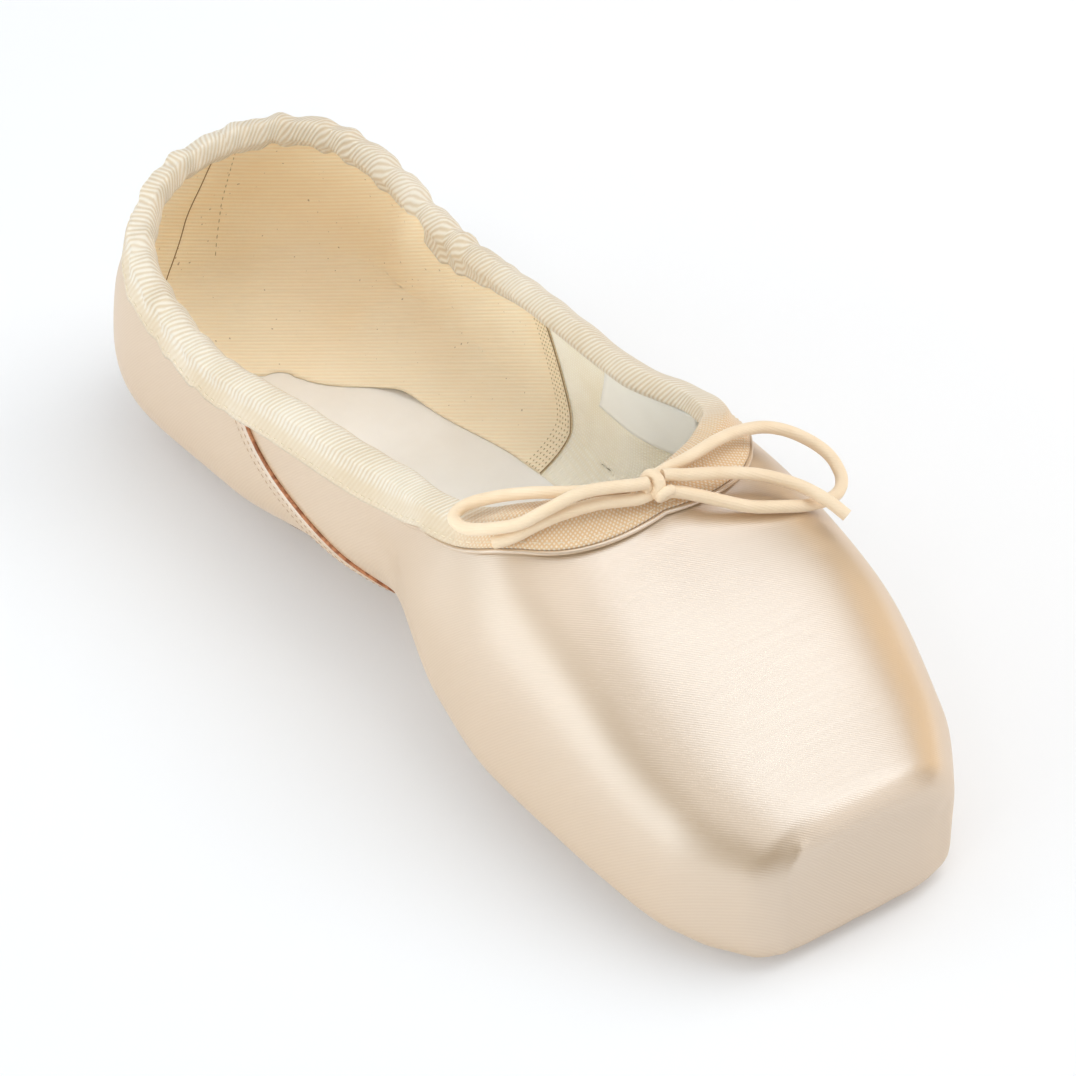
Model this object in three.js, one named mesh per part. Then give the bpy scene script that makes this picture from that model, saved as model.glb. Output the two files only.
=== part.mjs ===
// A satin pointe shoe: hollow upper, leather outsole, insole, collar binding and drawstring bow.
// Millimetres, +Z up. The shoe stands on the floor z = 0 with its toe along -Y.
// Places on the last are written (x across, s along from the heel back, z up).
import * as THREE from 'three';
import { mergeVertices } from 'three/addons/utils/BufferGeometryUtils.js';

// Driving sizes
const LENGTH = 230;
const BALL_WIDTH = 81;
const INSTEP_HEIGHT = 68;
const HEEL_HEIGHT = 64;
const GAP = 0.4;

// Walls
const QUARTER_WALL = 1.6;
const BOX_WALL = 2.8;
const BOX_WALL_FROM = 0.58;
const BOX_WALL_TO = 0.8;

// Sole
const OUTSOLE_THICKNESS = 2.8;
const TREAD_FLAT_DEPTH = 0.35;
const SEAT_HEIGHT = OUTSOLE_THICKNESS + GAP - TREAD_FLAT_DEPTH;
const SOLE_HEEL_END = 9;
const SOLE_TOE_END = 205;
const SOLE_HEEL_ROUND = 22;
const SOLE_TOE_ROUND = 30;
const TURNED_MARGIN = 8;
const INSOLE_THICKNESS = 1.6;
const INSOLE_WIDER = 2;

// Ends of the last
const TOE_EDGE_RADIUS = 4.5;
const HEEL_RADIUS = 30;
const HEEL_SQUARENESS = 2.3;

// Throat: the collar's front edge, a bow that falls back towards the sides
const THROAT_AT = 0.7 * LENGTH;
const THROAT_FALL = 14;
const THROAT_HALF_WIDTH = 30;
const THROAT_BLEND = 7;

// Binding tape folded over the collar, with a casing for the drawstring at its fold
const TAPE_THICKNESS = 1;
const TAPE_INSIDE = 7;
const CASING_SWELL = 0.7;
const CASING_DEPTH = 3.4;
const TAPE_CLEARANCE = 0.45;

// Drawstring
const CORD_DIAMETER = 2.5;
const CORD_SIDES = 8;
const CORD_STEP = 2 * CORD_DIAMETER;
const KNOT = { x: -1.1, s: 163.2, z: 64.2, halfX: 2.9, halfS: 3.4, halfZ: 3 };
const KNOT_SEGMENTS = 12;

// Mesh density
const SPINE_HEIGHT = 24;
const HEEL_PIVOT = 30;
const TOE_PIVOT = 132;
const UPPER_FANS = { heel: 9, side: 12, toe: 21 };
const PLATE_FANS = { heel: 8, side: 14, toe: 14 };
const TOE_FAN_CROWDING = 1.5;
const UPPER_ROWS = 18;
const TURN_WEIGHT = 20;
const PLATE_RINGS = 4;
const PLATE_RING_CROWDING = 1.6;
const WALL_SLOPE_SPAN = 1.5;
const RAYS = 220;
const BISECTIONS = 40;

// Cross-sections of the last. at: share of LENGTH; half: share of half BALL_WIDTH; crown and
// widest: shares of INSTEP_HEIGHT; lift: height of the bottom over the tread; squarenesses: the
// exponents of the upper and lower halves of the section.
const SECTIONS = [
  { at: 0.0, half: 0.8, crown: 1.4, widest: 0.353, lift: 0, squareTop: 2.2, squareBottom: 3.4 },
  { at: 0.13, half: 0.8, crown: 1.4, widest: 0.353, lift: 0, squareTop: 2.2, squareBottom: 3.4 },
  { at: 0.26, half: 0.81, crown: 1.32, widest: 0.38, lift: 1.8, squareTop: 2.2, squareBottom: 3.4 },
  { at: 0.39, half: 0.785, crown: 1.235, widest: 0.4, lift: 5.8, squareTop: 2.2, squareBottom: 2.7 },
  { at: 0.5, half: 0.77, crown: 1.12, widest: 0.41, lift: 5.6, squareTop: 2.2, squareBottom: 2.2 },
  { at: 0.61, half: 0.925, crown: 1.01, widest: 0.36, lift: 0.9, squareTop: 2.3, squareBottom: 3.2 },
  { at: 0.705, half: 1.0, crown: 0.866, widest: 0.34, lift: 0, squareTop: 2.65, squareBottom: 4 },
  { at: 0.805, half: 0.977, crown: 0.735, widest: 0.285, lift: 0, squareTop: 2.9, squareBottom: 4.4 },
  { at: 0.915, half: 0.848, crown: 0.558, widest: 0.212, lift: -0.9, squareTop: 2.8, squareBottom: 5 },
  { at: 1.0, half: 0.55, crown: 0.44, widest: 0.203, lift: -1.9, squareTop: 3.2, squareBottom: 6 },
];

// Back of the heel. up: share of HEEL_HEIGHT; setback: distance forward of the rearmost point.
const HEEL_BACK = [
  { up: 0.0, setback: 8 },
  { up: 0.13, setback: 2.6 },
  { up: 0.33, setback: 0 },
  { up: 0.55, setback: 1.9 },
  { up: 0.76, setback: 7.6 },
  { up: 0.95, setback: 13.8 },
  { up: 1.5, setback: 28 },
];

// Collar. at: share of LENGTH; height: share of HEEL_HEIGHT.
const COLLAR = [
  { at: 0.0, height: 0.975 },
  { at: 0.06, height: 0.935 },
  { at: 0.13, height: 0.78 },
  { at: 0.24, height: 0.68 },
  { at: 0.37, height: 0.735 },
  { at: 0.48, height: 0.77 },
  { at: 0.57, height: 0.83 },
  { at: 0.66, height: 0.915 },
];

// Width of the binding outside the rim: along the sides, at: share of LENGTH, and across the throat,
// across: share of THROAT_HALF_WIDTH from the middle, where the drawstring is knotted.
const TAPE_SIDE = [
  { at: 0.0, width: 10 },
  { at: 0.38, width: 10 },
  { at: 0.45, width: 9 },
  { at: 0.52, width: 7.6 },
  { at: 0.574, width: 5 },
];
const TAPE_FRONT = [
  { across: 0.0, width: 6.2 },
  { across: 0.5, width: 9 },
  { across: 0.83, width: 6.4 },
  { across: 1.0, width: 5 },
];

// Sole outline before its ends are rounded. at: share of LENGTH; half: share of half BALL_WIDTH.
const SOLE_OUTLINE = [
  { at: 0.0, half: 0.55 },
  { at: 0.17, half: 0.57 },
  { at: 0.3, half: 0.57 },
  { at: 0.42, half: 0.47 },
  { at: 0.51, half: 0.46 },
  { at: 0.61, half: 0.65 },
  { at: 0.7, half: 0.75 },
  { at: 0.79, half: 0.73 },
  { at: 0.9, half: 0.6 },
];

// Drawstring bow: where the cord's middle runs from the knot, (x, s, z).
const BOW_ROUTES = {
  bow_loop_left: [
    [-4.4, 163.4, 65.8], [-10.2, 161.8, 66.8], [-15.4, 160.2, 67], [-22.6, 158.4, 65],
    [-26.8, 156.4, 62.8], [-30.6, 152.6, 61], [-33.2, 147.4, 59], [-33, 143.2, 58.8],
    [-30, 142.4, 59.6], [-25.6, 145.6, 61.6], [-20.6, 150.8, 63.6], [-16.4, 154.4, 64],
    [-10.6, 158.2, 64], [-4.8, 161, 64],
  ],
  bow_end_left: [
    [-4.6, 163.6, 62.6], [-12.2, 160.9, 63.3], [-19.4, 158.6, 62.6], [-23.6, 157, 61.2],
    [-27.8, 155.2, 59.2], [-30.8, 153, 57.8],
  ],
  bow_loop_right: [
    [2.4, 161.3, 64.4], [5.6, 161.6, 64.8], [10.2, 161.4, 65], [16, 160, 64.4],
    [23.4, 158, 62.2], [30.6, 157.8, 59.6], [36, 160, 56.6], [39.2, 165, 53.8],
    [38.9, 169.4, 51.9], [37.2, 172, 50.8], [34.4, 173, 50.4], [29.6, 173, 50.9],
    [22, 173.4, 54.2], [15, 171.8, 56.6], [8.8, 169, 59.6], [4.6, 166.6, 61.4], [2.2, 165.6, 62.4],
  ],
  bow_end_right: [
    [2.4, 164.1, 65.4], [5, 164.9, 64.6], [10.6, 165.9, 62.9], [17.3, 167.2, 60.6],
    [22.9, 168.8, 58], [27.8, 172.2, 55.4], [30.6, 176.6, 53.4], [32.4, 180, 51.2],
  ],
};

const FINISH = {
  satin: { color: 0xf0dcc3, roughness: 0.45, metalness: 0 },
  tape: { color: 0xf3dcb8, roughness: 0.85, metalness: 0 },
  soleLeather: { color: 0xcbb391, roughness: 0.7, metalness: 0 },
  sock: { color: 0xe4e1dd, roughness: 0.75, metalness: 0 },
  cord: { color: 0xf1d9b8, roughness: 0.8, metalness: 0 },
};

/** A smooth curve that keeps the ups and downs of a table: column `to` over column `from`. */
function curveThrough(rows, from, to, fromScale = 1, toScale = 1) {
  const xs = rows.map((row) => row[from] * fromScale);
  const ys = rows.map((row) => row[to] * toScale);
  const end = xs.length - 1;
  const chord = xs.slice(1).map((x, i) => (ys[i + 1] - ys[i]) / (x - xs[i]));
  const slope = xs.map((x, i) => {
    if (i === 0 || i === end) return chord[Math.min(i, end - 1)];
    if (chord[i - 1] * chord[i] <= 0) return 0;
    return (2 * chord[i - 1] * chord[i]) / (chord[i - 1] + chord[i]);
  });
  return (at) => {
    const x = THREE.MathUtils.clamp(at, xs[0], xs[end]);
    const next = xs.findIndex((knot) => knot >= x);
    const i = Math.max(next - 1, 0);
    const width = xs[i + 1] - xs[i];
    const t = (x - xs[i]) / width;
    const rise = t * t * (3 - 2 * t);
    const leave = t * (1 - t) * (1 - t) * slope[i];
    const arrive = t * t * (t - 1) * slope[i + 1];
    return ys[i] + (ys[i + 1] - ys[i]) * rise + (leave + arrive) * width;
  };
}

const HALF_BALL = BALL_WIDTH / 2;
const last = {
  half: curveThrough(SECTIONS, 'at', 'half', LENGTH, HALF_BALL),
  crown: curveThrough(SECTIONS, 'at', 'crown', LENGTH, INSTEP_HEIGHT),
  widest: curveThrough(SECTIONS, 'at', 'widest', LENGTH, INSTEP_HEIGHT),
  lift: curveThrough(SECTIONS, 'at', 'lift', LENGTH),
  squareTop: curveThrough(SECTIONS, 'at', 'squareTop', LENGTH),
  squareBottom: curveThrough(SECTIONS, 'at', 'squareBottom', LENGTH),
  setback: curveThrough(HEEL_BACK, 'up', 'setback', HEEL_HEIGHT),
};
const collarHeight = curveThrough(COLLAR, 'at', 'height', LENGTH, HEEL_HEIGHT);
const tapeSideWidth = curveThrough(TAPE_SIDE, 'at', 'width', LENGTH, 1);
const tapeFrontWidth = curveThrough(TAPE_FRONT, 'across', 'width', THROAT_HALF_WIDTH, 1);
const soleTable = curveThrough(SOLE_OUTLINE, 'at', 'half', LENGTH, HALF_BALL);

/** Wall of the upper: cloth at the quarters, stiffened layers in the toe box. */
function wallAt(s) {
  const share = THREE.MathUtils.smoothstep(s / LENGTH, BOX_WALL_FROM, BOX_WALL_TO);
  return THREE.MathUtils.lerp(QUARTER_WALL, BOX_WALL, share);
}

/** Positive outside the last pulled in by `inset`, negative inside it. */
function outsideLast(point, inset) {
  const { x, y: s, z } = point;
  const heel = last.setback(z) + inset;
  const toe = LENGTH - inset;
  if (s >= toe) return 1 + s - toe;
  if (s <= heel) return 1 + heel - s;
  const pastEdge = Math.max(s - (toe - TOE_EDGE_RADIUS), 0);
  const edge = TOE_EDGE_RADIUS - Math.sqrt(TOE_EDGE_RADIUS ** 2 - pastEdge ** 2);
  const pull = inset + edge;
  const nearHeel = Math.max((HEEL_RADIUS - (s - heel)) / HEEL_RADIUS, 0);
  const heelShare = (1 - nearHeel ** HEEL_SQUARENESS) ** (1 / HEEL_SQUARENESS);
  const half = (last.half(s) - pull) * heelShare;
  const widest = last.widest(s);
  const above = z >= widest;
  const reach = above ? last.crown(s) - pull - widest : widest - (SEAT_HEIGHT + last.lift(s) + pull);
  const power = above ? last.squareTop(s) : last.squareBottom(s);
  return (Math.abs(x) / half) ** power + (Math.abs(z - widest) / reach) ** power - 1;
}

/** The last's surface along a ray from inside it; `insetAt` gives the inset for each s. */
function castRay(origin, direction, insetAt) {
  let near = 0;
  let far = LENGTH;
  const probe = new THREE.Vector3();
  for (let i = 0; i < BISECTIONS; i += 1) {
    const middle = (near + far) / 2;
    probe.copy(origin).addScaledVector(direction, middle);
    if (outsideLast(probe, insetAt(probe.y)) > 0) far = middle;
    else near = middle;
  }
  return probe.copy(origin).addScaledVector(direction, near).clone();
}

/** Half width of the sole's outline at s, grown by `grow`; negative past its ends. */
function soleHalf(s, grow) {
  const fromHeel = s - (SOLE_HEEL_END - grow);
  const fromToe = SOLE_TOE_END + grow - s;
  if (fromHeel <= 0 || fromToe <= 0) return -1;
  const heelPart = Math.max((SOLE_HEEL_ROUND - fromHeel) / SOLE_HEEL_ROUND, 0);
  const toePart = Math.max((SOLE_TOE_ROUND - fromToe) / SOLE_TOE_ROUND, 0);
  const round = Math.sqrt(1 - heelPart ** 2) * Math.sqrt(1 - toePart ** 2);
  return (soleTable(s) + grow) * round;
}

/** Positive above the collar and behind the throat, where the shoe is open. */
function aboveCollar(point) {
  const overCollar = point.z - collarHeight(point.y);
  const throat = THROAT_AT - THROAT_FALL * (point.x / THROAT_HALF_WIDTH) ** 2;
  const behindThroat = throat - point.y;
  const blend = Math.max(THROAT_BLEND - Math.abs(overCollar - behindThroat), 0) / THROAT_BLEND;
  return Math.min(overCollar, behindThroat) - (blend ** 2 * THROAT_BLEND) / 4;
}

/** Stations along one side from heel centre to toe centre: a start on the spine and a heading. */
function stationsFor(fans) {
  const stations = [];
  const add = (s, angle) => stations.push({
    origin: new THREE.Vector3(0, s, SPINE_HEIGHT),
    heading: new THREE.Vector3(Math.cos(angle), Math.sin(angle), 0),
  });
  for (let i = 0; i < fans.heel; i += 1) add(HEEL_PIVOT, (Math.PI / 2) * (i / fans.heel - 1));
  for (let i = 0; i < fans.side; i += 1) {
    add(THREE.MathUtils.lerp(HEEL_PIVOT, TOE_PIVOT, i / fans.side), 0);
  }
  for (let i = 0; i <= fans.toe; i += 1) {
    add(TOE_PIVOT, (Math.PI / 2) * (1 - (1 - i / fans.toe) ** TOE_FAN_CROWDING));
  }
  return stations;
}

/** The line from the sole's rim up to the collar at one station. */
function profileAt(station, insetAt) {
  const inOpening = (p) => Math.abs(p.x) - soleHalf(p.y, -TURNED_MARGIN);
  const points = [];
  let before = null;
  for (let i = 1; i < RAYS; i += 1) {
    const tilt = Math.PI * (i / RAYS - 0.5);
    const direction = station.heading.clone().multiplyScalar(Math.cos(tilt)).setZ(Math.sin(tilt));
    const point = castRay(station.origin, direction, insetAt);
    if (before && points.length === 0 && inOpening(before) < 0 && inOpening(point) >= 0) {
      points.push(crossing(before, point, inOpening));
    }
    if (points.length > 0 && aboveCollar(point) > 0) {
      points.push(crossing(before, point, aboveCollar));
      return points;
    }
    if (points.length > 0) points.push(point);
    before = point;
  }
  return points;
}

/** The place between two points where a measure changes sign. */
function crossing(from, to, measure) {
  const start = measure(from);
  const share = start / (start - measure(to));
  return from.clone().lerp(to, THREE.MathUtils.clamp(share, 0, 1));
}

/** Points along a line, closer together where it turns. */
function resample(points, rows) {
  const run = [0];
  for (let i = 1; i < points.length; i += 1) {
    const step = points[i].clone().sub(points[i - 1]);
    const onward = points[Math.min(i + 1, points.length - 1)].clone().sub(points[i]);
    const turn = onward.lengthSq() > 0 && step.lengthSq() > 0 ? step.angleTo(onward) : 0;
    run.push(run[i - 1] + step.length() + TURN_WEIGHT * turn);
  }
  const places = Array.from({ length: rows + 1 }, (_, row) => (run.at(-1) * row) / rows);
  return places.map((place) => pointAlong(points, run, place));
}

/** The point at a given place on a line whose running lengths are known. */
function pointAlong(points, run, place) {
  const next = Math.max(run.findIndex((length) => length >= place - 1e-9), 1);
  const share = (place - run[next - 1]) / (run[next] - run[next - 1] || 1);
  return points[next - 1].clone().lerp(points[next], THREE.MathUtils.clamp(share, 0, 1));
}

/** From the last's coordinates to the shoe's frame. */
function toFrame(point) {
  return new THREE.Vector3(point.x, LENGTH / 2 - point.y, point.z);
}

/** Repeats one side's sections on the other side and closes the ring. */
function mirrorRound(sections) {
  const flip = (p) => new THREE.Vector3(-p.x, p.y, p.z);
  const others = sections.slice(1, -1).reverse().map((section) => section.map(flip));
  return [...sections, ...others];
}

/** A closed solid from points and triangles, with its faces pointing out. */
function solidFrom(points, triangles) {
  const geometry = new THREE.BufferGeometry();
  const places = points.flatMap((p) => p.toArray());
  geometry.setAttribute('position', new THREE.Float32BufferAttribute(places, 3));
  geometry.setIndex(triangles.flat());
  const merged = mergeVertices(geometry, 1e-5);
  const cornerOf = (i) => [0, 1, 2].map((k) => merged.index.getX(3 * i + k));
  const corners = Array.from({ length: merged.index.count / 3 }, (_, i) => cornerOf(i));
  const kept = corners.filter(([a, b, c]) => a !== b && b !== c && c !== a);
  const at = (i) => new THREE.Vector3().fromBufferAttribute(merged.attributes.position, i);
  const volume = kept.reduce((sum, [a, b, c]) => sum + at(a).dot(at(b).cross(at(c))), 0);
  merged.setIndex(kept.flatMap(([a, b, c]) => (volume > 0 ? [a, b, c] : [a, c, b])));
  merged.computeVertexNormals();
  return merged;
}

/** A solid swept round through sections of equal count: a ring, or a plate that meets on its spine. */
function sweptSolid(sections, meetsOnSpine) {
  const count = sections[0].length;
  const edges = meetsOnSpine ? count - 1 : count;
  const triangles = [];
  sections.forEach((_, i) => {
    const here = i * count;
    const there = ((i + 1) % sections.length) * count;
    for (let j = 0; j < edges; j += 1) {
      const k = (j + 1) % count;
      triangles.push([here + j, there + j, there + k], [here + j, there + k, here + k]);
    }
  });
  return solidFrom(sections.flat().map(toFrame), triangles);
}

/** A plate from the spine out to an outline, between a top and a bottom height. */
function plateSolid(grow, topAt, bottomAt) {
  const columns = stationsFor(PLATE_FANS).map(({ origin, heading }) => {
    const reach = outlineReach(origin, heading, grow);
    const share = (ring) => 1 - (1 - ring / PLATE_RINGS) ** PLATE_RING_CROWDING;
    const at = (ring) => origin.clone().addScaledVector(heading, reach * share(ring));
    const rings = Array.from({ length: PLATE_RINGS + 1 }, (_, ring) => at(ring));
    const top = rings.map((p) => p.clone().setZ(topAt(p)));
    const bottom = rings.map((p) => p.clone().setZ(bottomAt(p)));
    return [...top, ...bottom.reverse()];
  });
  return sweptSolid(mirrorRound(columns), true);
}

/** Distance along a heading to the sole's outline. */
function outlineReach(origin, heading, grow) {
  let near = 0;
  let far = LENGTH;
  for (let i = 0; i < BISECTIONS; i += 1) {
    const middle = (near + far) / 2;
    const p = origin.clone().addScaledVector(heading, middle);
    if (Math.abs(p.x) > soleHalf(p.y, grow)) far = middle;
    else near = middle;
  }
  return near;
}

/** Height of the last's underside, pulled in by an inset, below a place on the plan. */
function undersideAt(place, insetAt) {
  const start = new THREE.Vector3(place.x, place.y, SPINE_HEIGHT);
  return castRay(start, new THREE.Vector3(0, 0, -1), insetAt).z;
}

/** The upper: outer and inner walls joined at the sole's rim and at the collar. */
function makeUpper() {
  const sections = stationsFor(UPPER_FANS).map((station) => {
    const outer = resample(profileAt(station, () => 0), UPPER_ROWS);
    const inner = resample(profileAt(station, wallAt), UPPER_ROWS);
    return [...outer, ...inner.reverse()];
  });
  return sweptSolid(mirrorRound(sections), false);
}

/** The leather outsole: skived at its tip, cupped at its sides, flat where it treads. */
function makeOutsole() {
  const top = (p) => undersideAt(p, () => 0) - GAP;
  const bottom = (p) => Math.max(top(p) - OUTSOLE_THICKNESS, 0);
  return plateSolid(0, top, bottom);
}

/** The insole: a thin sock lying on the upper's turned-in margin. */
function makeInsole() {
  const bottom = (p) => undersideAt(p, wallAt) + GAP;
  const top = (p) => bottom(p) + INSOLE_THICKNESS;
  return plateSolid(INSOLE_WIDER, top, bottom);
}

/** Running lengths along a line of points. */
function lengthsAlong(points) {
  const run = [0];
  points.slice(1).forEach((point, i) => run.push(run[i] + point.distanceTo(points[i])));
  return run;
}

/** A place on a station's wall, a depth below its rim and a distance away from its face. */
function besideWall(line, heading, depth, away) {
  const run = lengthsAlong(line);
  const rim = run.at(-1);
  const point = pointAlong(line, run, rim - depth);
  const above = pointAlong(line, run, Math.min(rim - depth + WALL_SLOPE_SPAN, rim));
  const below = pointAlong(line, run, Math.min(rim - depth, rim - WALL_SLOPE_SPAN) - WALL_SLOPE_SPAN);
  const rise = above.sub(below).normalize();
  const sideways = heading.clone().multiplyScalar(rise.z).setZ(-rise.dot(heading));
  return { point: point.addScaledVector(sideways, away), rise };
}

/** The tape's section at a station: up outside, over the drawstring's casing, down inside and back. */
function tapeSection(station) {
  const { heading } = station;
  const outer = profileAt(station, () => 0);
  const inner = profileAt(station, wallAt);
  const face = TAPE_CLEARANCE + TAPE_THICKNESS;
  const casing = face + CASING_SWELL;
  const outside = (depth, away) => besideWall(outer, heading, depth, away).point;
  const inside = (depth, away) => besideWall(inner, heading, depth, -away).point;
  const rise = besideWall(outer, heading, 0, 0).rise;
  const over = (point, height) => point.addScaledVector(rise, height);
  const fold = outer.at(-1).clone().lerp(inner.at(-1), 0.5);
  const width = tapeWidthAt(fold);
  return [
    outside(width, TAPE_CLEARANCE),
    outside(width, face),
    outside((width + CASING_DEPTH) / 2, face),
    outside(CASING_DEPTH, face),
    outside(CASING_SWELL, casing),
    over(fold, casing),
    inside(CASING_SWELL, casing),
    inside(CASING_DEPTH, face),
    inside(TAPE_INSIDE, face),
    inside(TAPE_INSIDE, TAPE_CLEARANCE),
    inside(CASING_DEPTH, TAPE_CLEARANCE),
    over(inside(0, TAPE_CLEARANCE), TAPE_CLEARANCE),
    over(outside(0, TAPE_CLEARANCE), TAPE_CLEARANCE),
    outside((width + CASING_DEPTH) / 2, TAPE_CLEARANCE),
  ];
}

/** Width of the tape outside the rim: drawn in at the throat's corners and where the cord is knotted. */
function tapeWidthAt(rim) {
  return rim.y < TOE_PIVOT ? tapeSideWidth(rim.y) : tapeFrontWidth(Math.abs(rim.x));
}

/** The collar binding, a ring of tape folded over the rim of the upper. */
function makeBinding() {
  return sweptSolid(mirrorRound(stationsFor(UPPER_FANS).map(tapeSection)), false);
}

/** A round cord along a route of places on the last. */
function makeCord(route) {
  const path = new THREE.CatmullRomCurve3(route.map((place) => toFrame(new THREE.Vector3(...place))));
  const corners = Array.from({ length: CORD_SIDES }, (_, i) => (2 * Math.PI * i) / CORD_SIDES);
  const radius = CORD_DIAMETER / 2;
  const section = new THREE.Shape(
    corners.map((angle) => new THREE.Vector2(radius * Math.cos(angle), radius * Math.sin(angle))),
  );
  const steps = Math.round(path.getLength() / CORD_STEP);
  return new THREE.ExtrudeGeometry(section, { steps, extrudePath: path });
}

/** The bow's knot, a plain bead that the cord's loops and ends come out of. */
function makeKnot() {
  const bead = new THREE.SphereGeometry(1, KNOT_SEGMENTS, KNOT_SEGMENTS / 2);
  bead.scale(KNOT.halfX, KNOT.halfS, KNOT.halfZ);
  const place = toFrame(new THREE.Vector3(KNOT.x, KNOT.s, KNOT.z));
  return bead.translate(place.x, place.y, place.z);
}

/** A named mesh with its own finish. */
function named(name, geometry, finish) {
  const mesh = new THREE.Mesh(geometry, new THREE.MeshStandardMaterial(finish));
  mesh.name = name;
  return mesh;
}

const shoe = new THREE.Group();
shoe.add(named('upper', makeUpper(), FINISH.satin));
shoe.add(named('outsole', makeOutsole(), FINISH.soleLeather));
shoe.add(named('insole', makeInsole(), FINISH.sock));
shoe.add(named('collar_binding', makeBinding(), FINISH.tape));
shoe.add(named('bow_knot', makeKnot(), FINISH.cord));
Object.entries(BOW_ROUTES).forEach(([name, route]) => shoe.add(named(name, makeCord(route), FINISH.cord)));

export default shoe;
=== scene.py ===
"""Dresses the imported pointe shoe: cloth, tape, cord and leather on its solids, in a plain studio.

Places are written as on the shoemaker's last, in millimetres: x across, s along from the heel's back
and z up from the floor. The shoe's toe points along -Y, so a place lies at Y = LENGTH / 2 - s.
"""

import logging
import math
from dataclasses import dataclass, field
from enum import Enum
from typing import Callable, Sequence

import bpy
import numpy as np
from mathutils import Matrix, Vector


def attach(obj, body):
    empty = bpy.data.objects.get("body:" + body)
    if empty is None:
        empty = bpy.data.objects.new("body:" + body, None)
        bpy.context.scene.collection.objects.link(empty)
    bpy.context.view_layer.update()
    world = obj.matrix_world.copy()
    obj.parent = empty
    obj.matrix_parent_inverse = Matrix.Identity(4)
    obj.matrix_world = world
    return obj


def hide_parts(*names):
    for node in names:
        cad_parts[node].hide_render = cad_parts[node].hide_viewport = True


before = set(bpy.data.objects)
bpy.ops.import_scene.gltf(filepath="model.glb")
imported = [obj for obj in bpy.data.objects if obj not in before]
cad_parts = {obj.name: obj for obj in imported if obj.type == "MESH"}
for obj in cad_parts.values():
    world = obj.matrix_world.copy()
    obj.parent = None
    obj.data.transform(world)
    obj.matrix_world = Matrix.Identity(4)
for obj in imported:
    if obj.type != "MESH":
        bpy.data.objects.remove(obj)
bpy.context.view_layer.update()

log = logging.getLogger("pointe_shoe")

Place = tuple[float, float, float]
Colour = tuple[float, float, float, float]
Span = tuple[float, float]
Knots = tuple[Span, ...]
Rule = Callable[[np.ndarray], np.ndarray]
Piece, Material, Socket = bpy.types.Object, bpy.types.Material, bpy.types.NodeSocket

MM = 0.001
LENGTH = 230.0
DECIMETRE = 100.0
BODY = "root"
MERGE, SLIVER = 0.002 * MM, 0.001 * MM
CORD_STEPS, CORD_SIDES = 6, 4


class Slot(Enum):
    """The record's material slots."""

    SATIN = "satin"
    SOLE_LEATHER = "sole_leather"
    SOCK = "sock"
    TAPE = "tape"
    CORD = "cord"


class Shows(Enum):
    """What a studio light shows in."""

    BOTH = "all"
    MATT = "matt"
    GLOSS = "gloss"


class CordEnd(Enum):
    """What a cord's far end is."""

    BARE = "bare"
    INTO_KNOT = "object"


class Side(Enum):
    """The two sides of the shoe, by the sign of x."""

    NEAR = -1
    FAR = 1


def srgb(red: int, green: int, blue: int) -> Colour:
    """A colour as seen on a screen, from 0 to 255, as the linear one a shader takes.

    Args:
        red: its red.
        green: its green.
        blue: its blue.

    Returns:
        The linear colour, opaque.
    """
    shares = (v / 255 for v in (red, green, blue))
    linear = [v / 12.92 if v <= 0.04045 else ((v + 0.055) / 1.055) ** 2.4 for v in shares]
    return (linear[0], linear[1], linear[2], 1.0)


def smoothstep(at: np.ndarray, low: float, high: float) -> np.ndarray:
    """A soft step from 0 at low to 1 at high."""
    t = np.clip((np.asarray(at, dtype=float) - low) / (high - low), 0, 1)
    return t * t * (3 - 2 * t)


def in_shoe(places: np.ndarray) -> np.ndarray:
    """Places on the last, in millimetres, as points of the shoe's frame in metres."""
    return np.stack([places[..., 0], LENGTH / 2 - places[..., 1], places[..., 2]], axis=-1) * MM


class SmoothCurve:
    """A curve through a few knots that keeps their ups and downs."""

    def __init__(self, knots: Sequence[Span], scale: float = 1, height: float = 1) -> None:
        """Takes the knots.

        Args:
            knots: places and values, in order of place.
            scale: factor on the places.
            height: factor on the values.
        """
        table = np.array(knots, dtype=float)
        self.at = table[:, 0] * scale
        self.value = table[:, 1] * height
        chord = np.diff(self.value) / np.diff(self.at)
        before, after = chord[:-1], chord[1:]
        turning = before * after <= 0
        total = np.where(turning, 1.0, before + after)
        inner = np.where(turning, 0.0, 2 * before * after / total)
        self.slope = np.concatenate([chord[:1], inner, chord[-1:]])

    def __call__(self, at: np.ndarray) -> np.ndarray:
        """The curve's values at some places.

        Args:
            at: the places; past the knots, the end's value holds.

        Returns:
            One value for each place.
        """
        x = np.clip(at, self.at[0], self.at[-1])
        i = np.clip(np.searchsorted(self.at, x, side="left") - 1, 0, len(self.at) - 2)
        width = self.at[i + 1] - self.at[i]
        t = (x - self.at[i]) / width
        rise = t * t * (3 - 2 * t)
        bend = t * (1 - t) ** 2 * self.slope[i] + t * t * (t - 1) * self.slope[i + 1]
        return self.value[i] + (self.value[i + 1] - self.value[i]) * rise + bend * width


@dataclass(frozen=True)
class Fans:
    """How many columns of cloth lie round the heel, along a side and round the toe."""

    heel: int
    side: int
    toe: int


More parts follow.
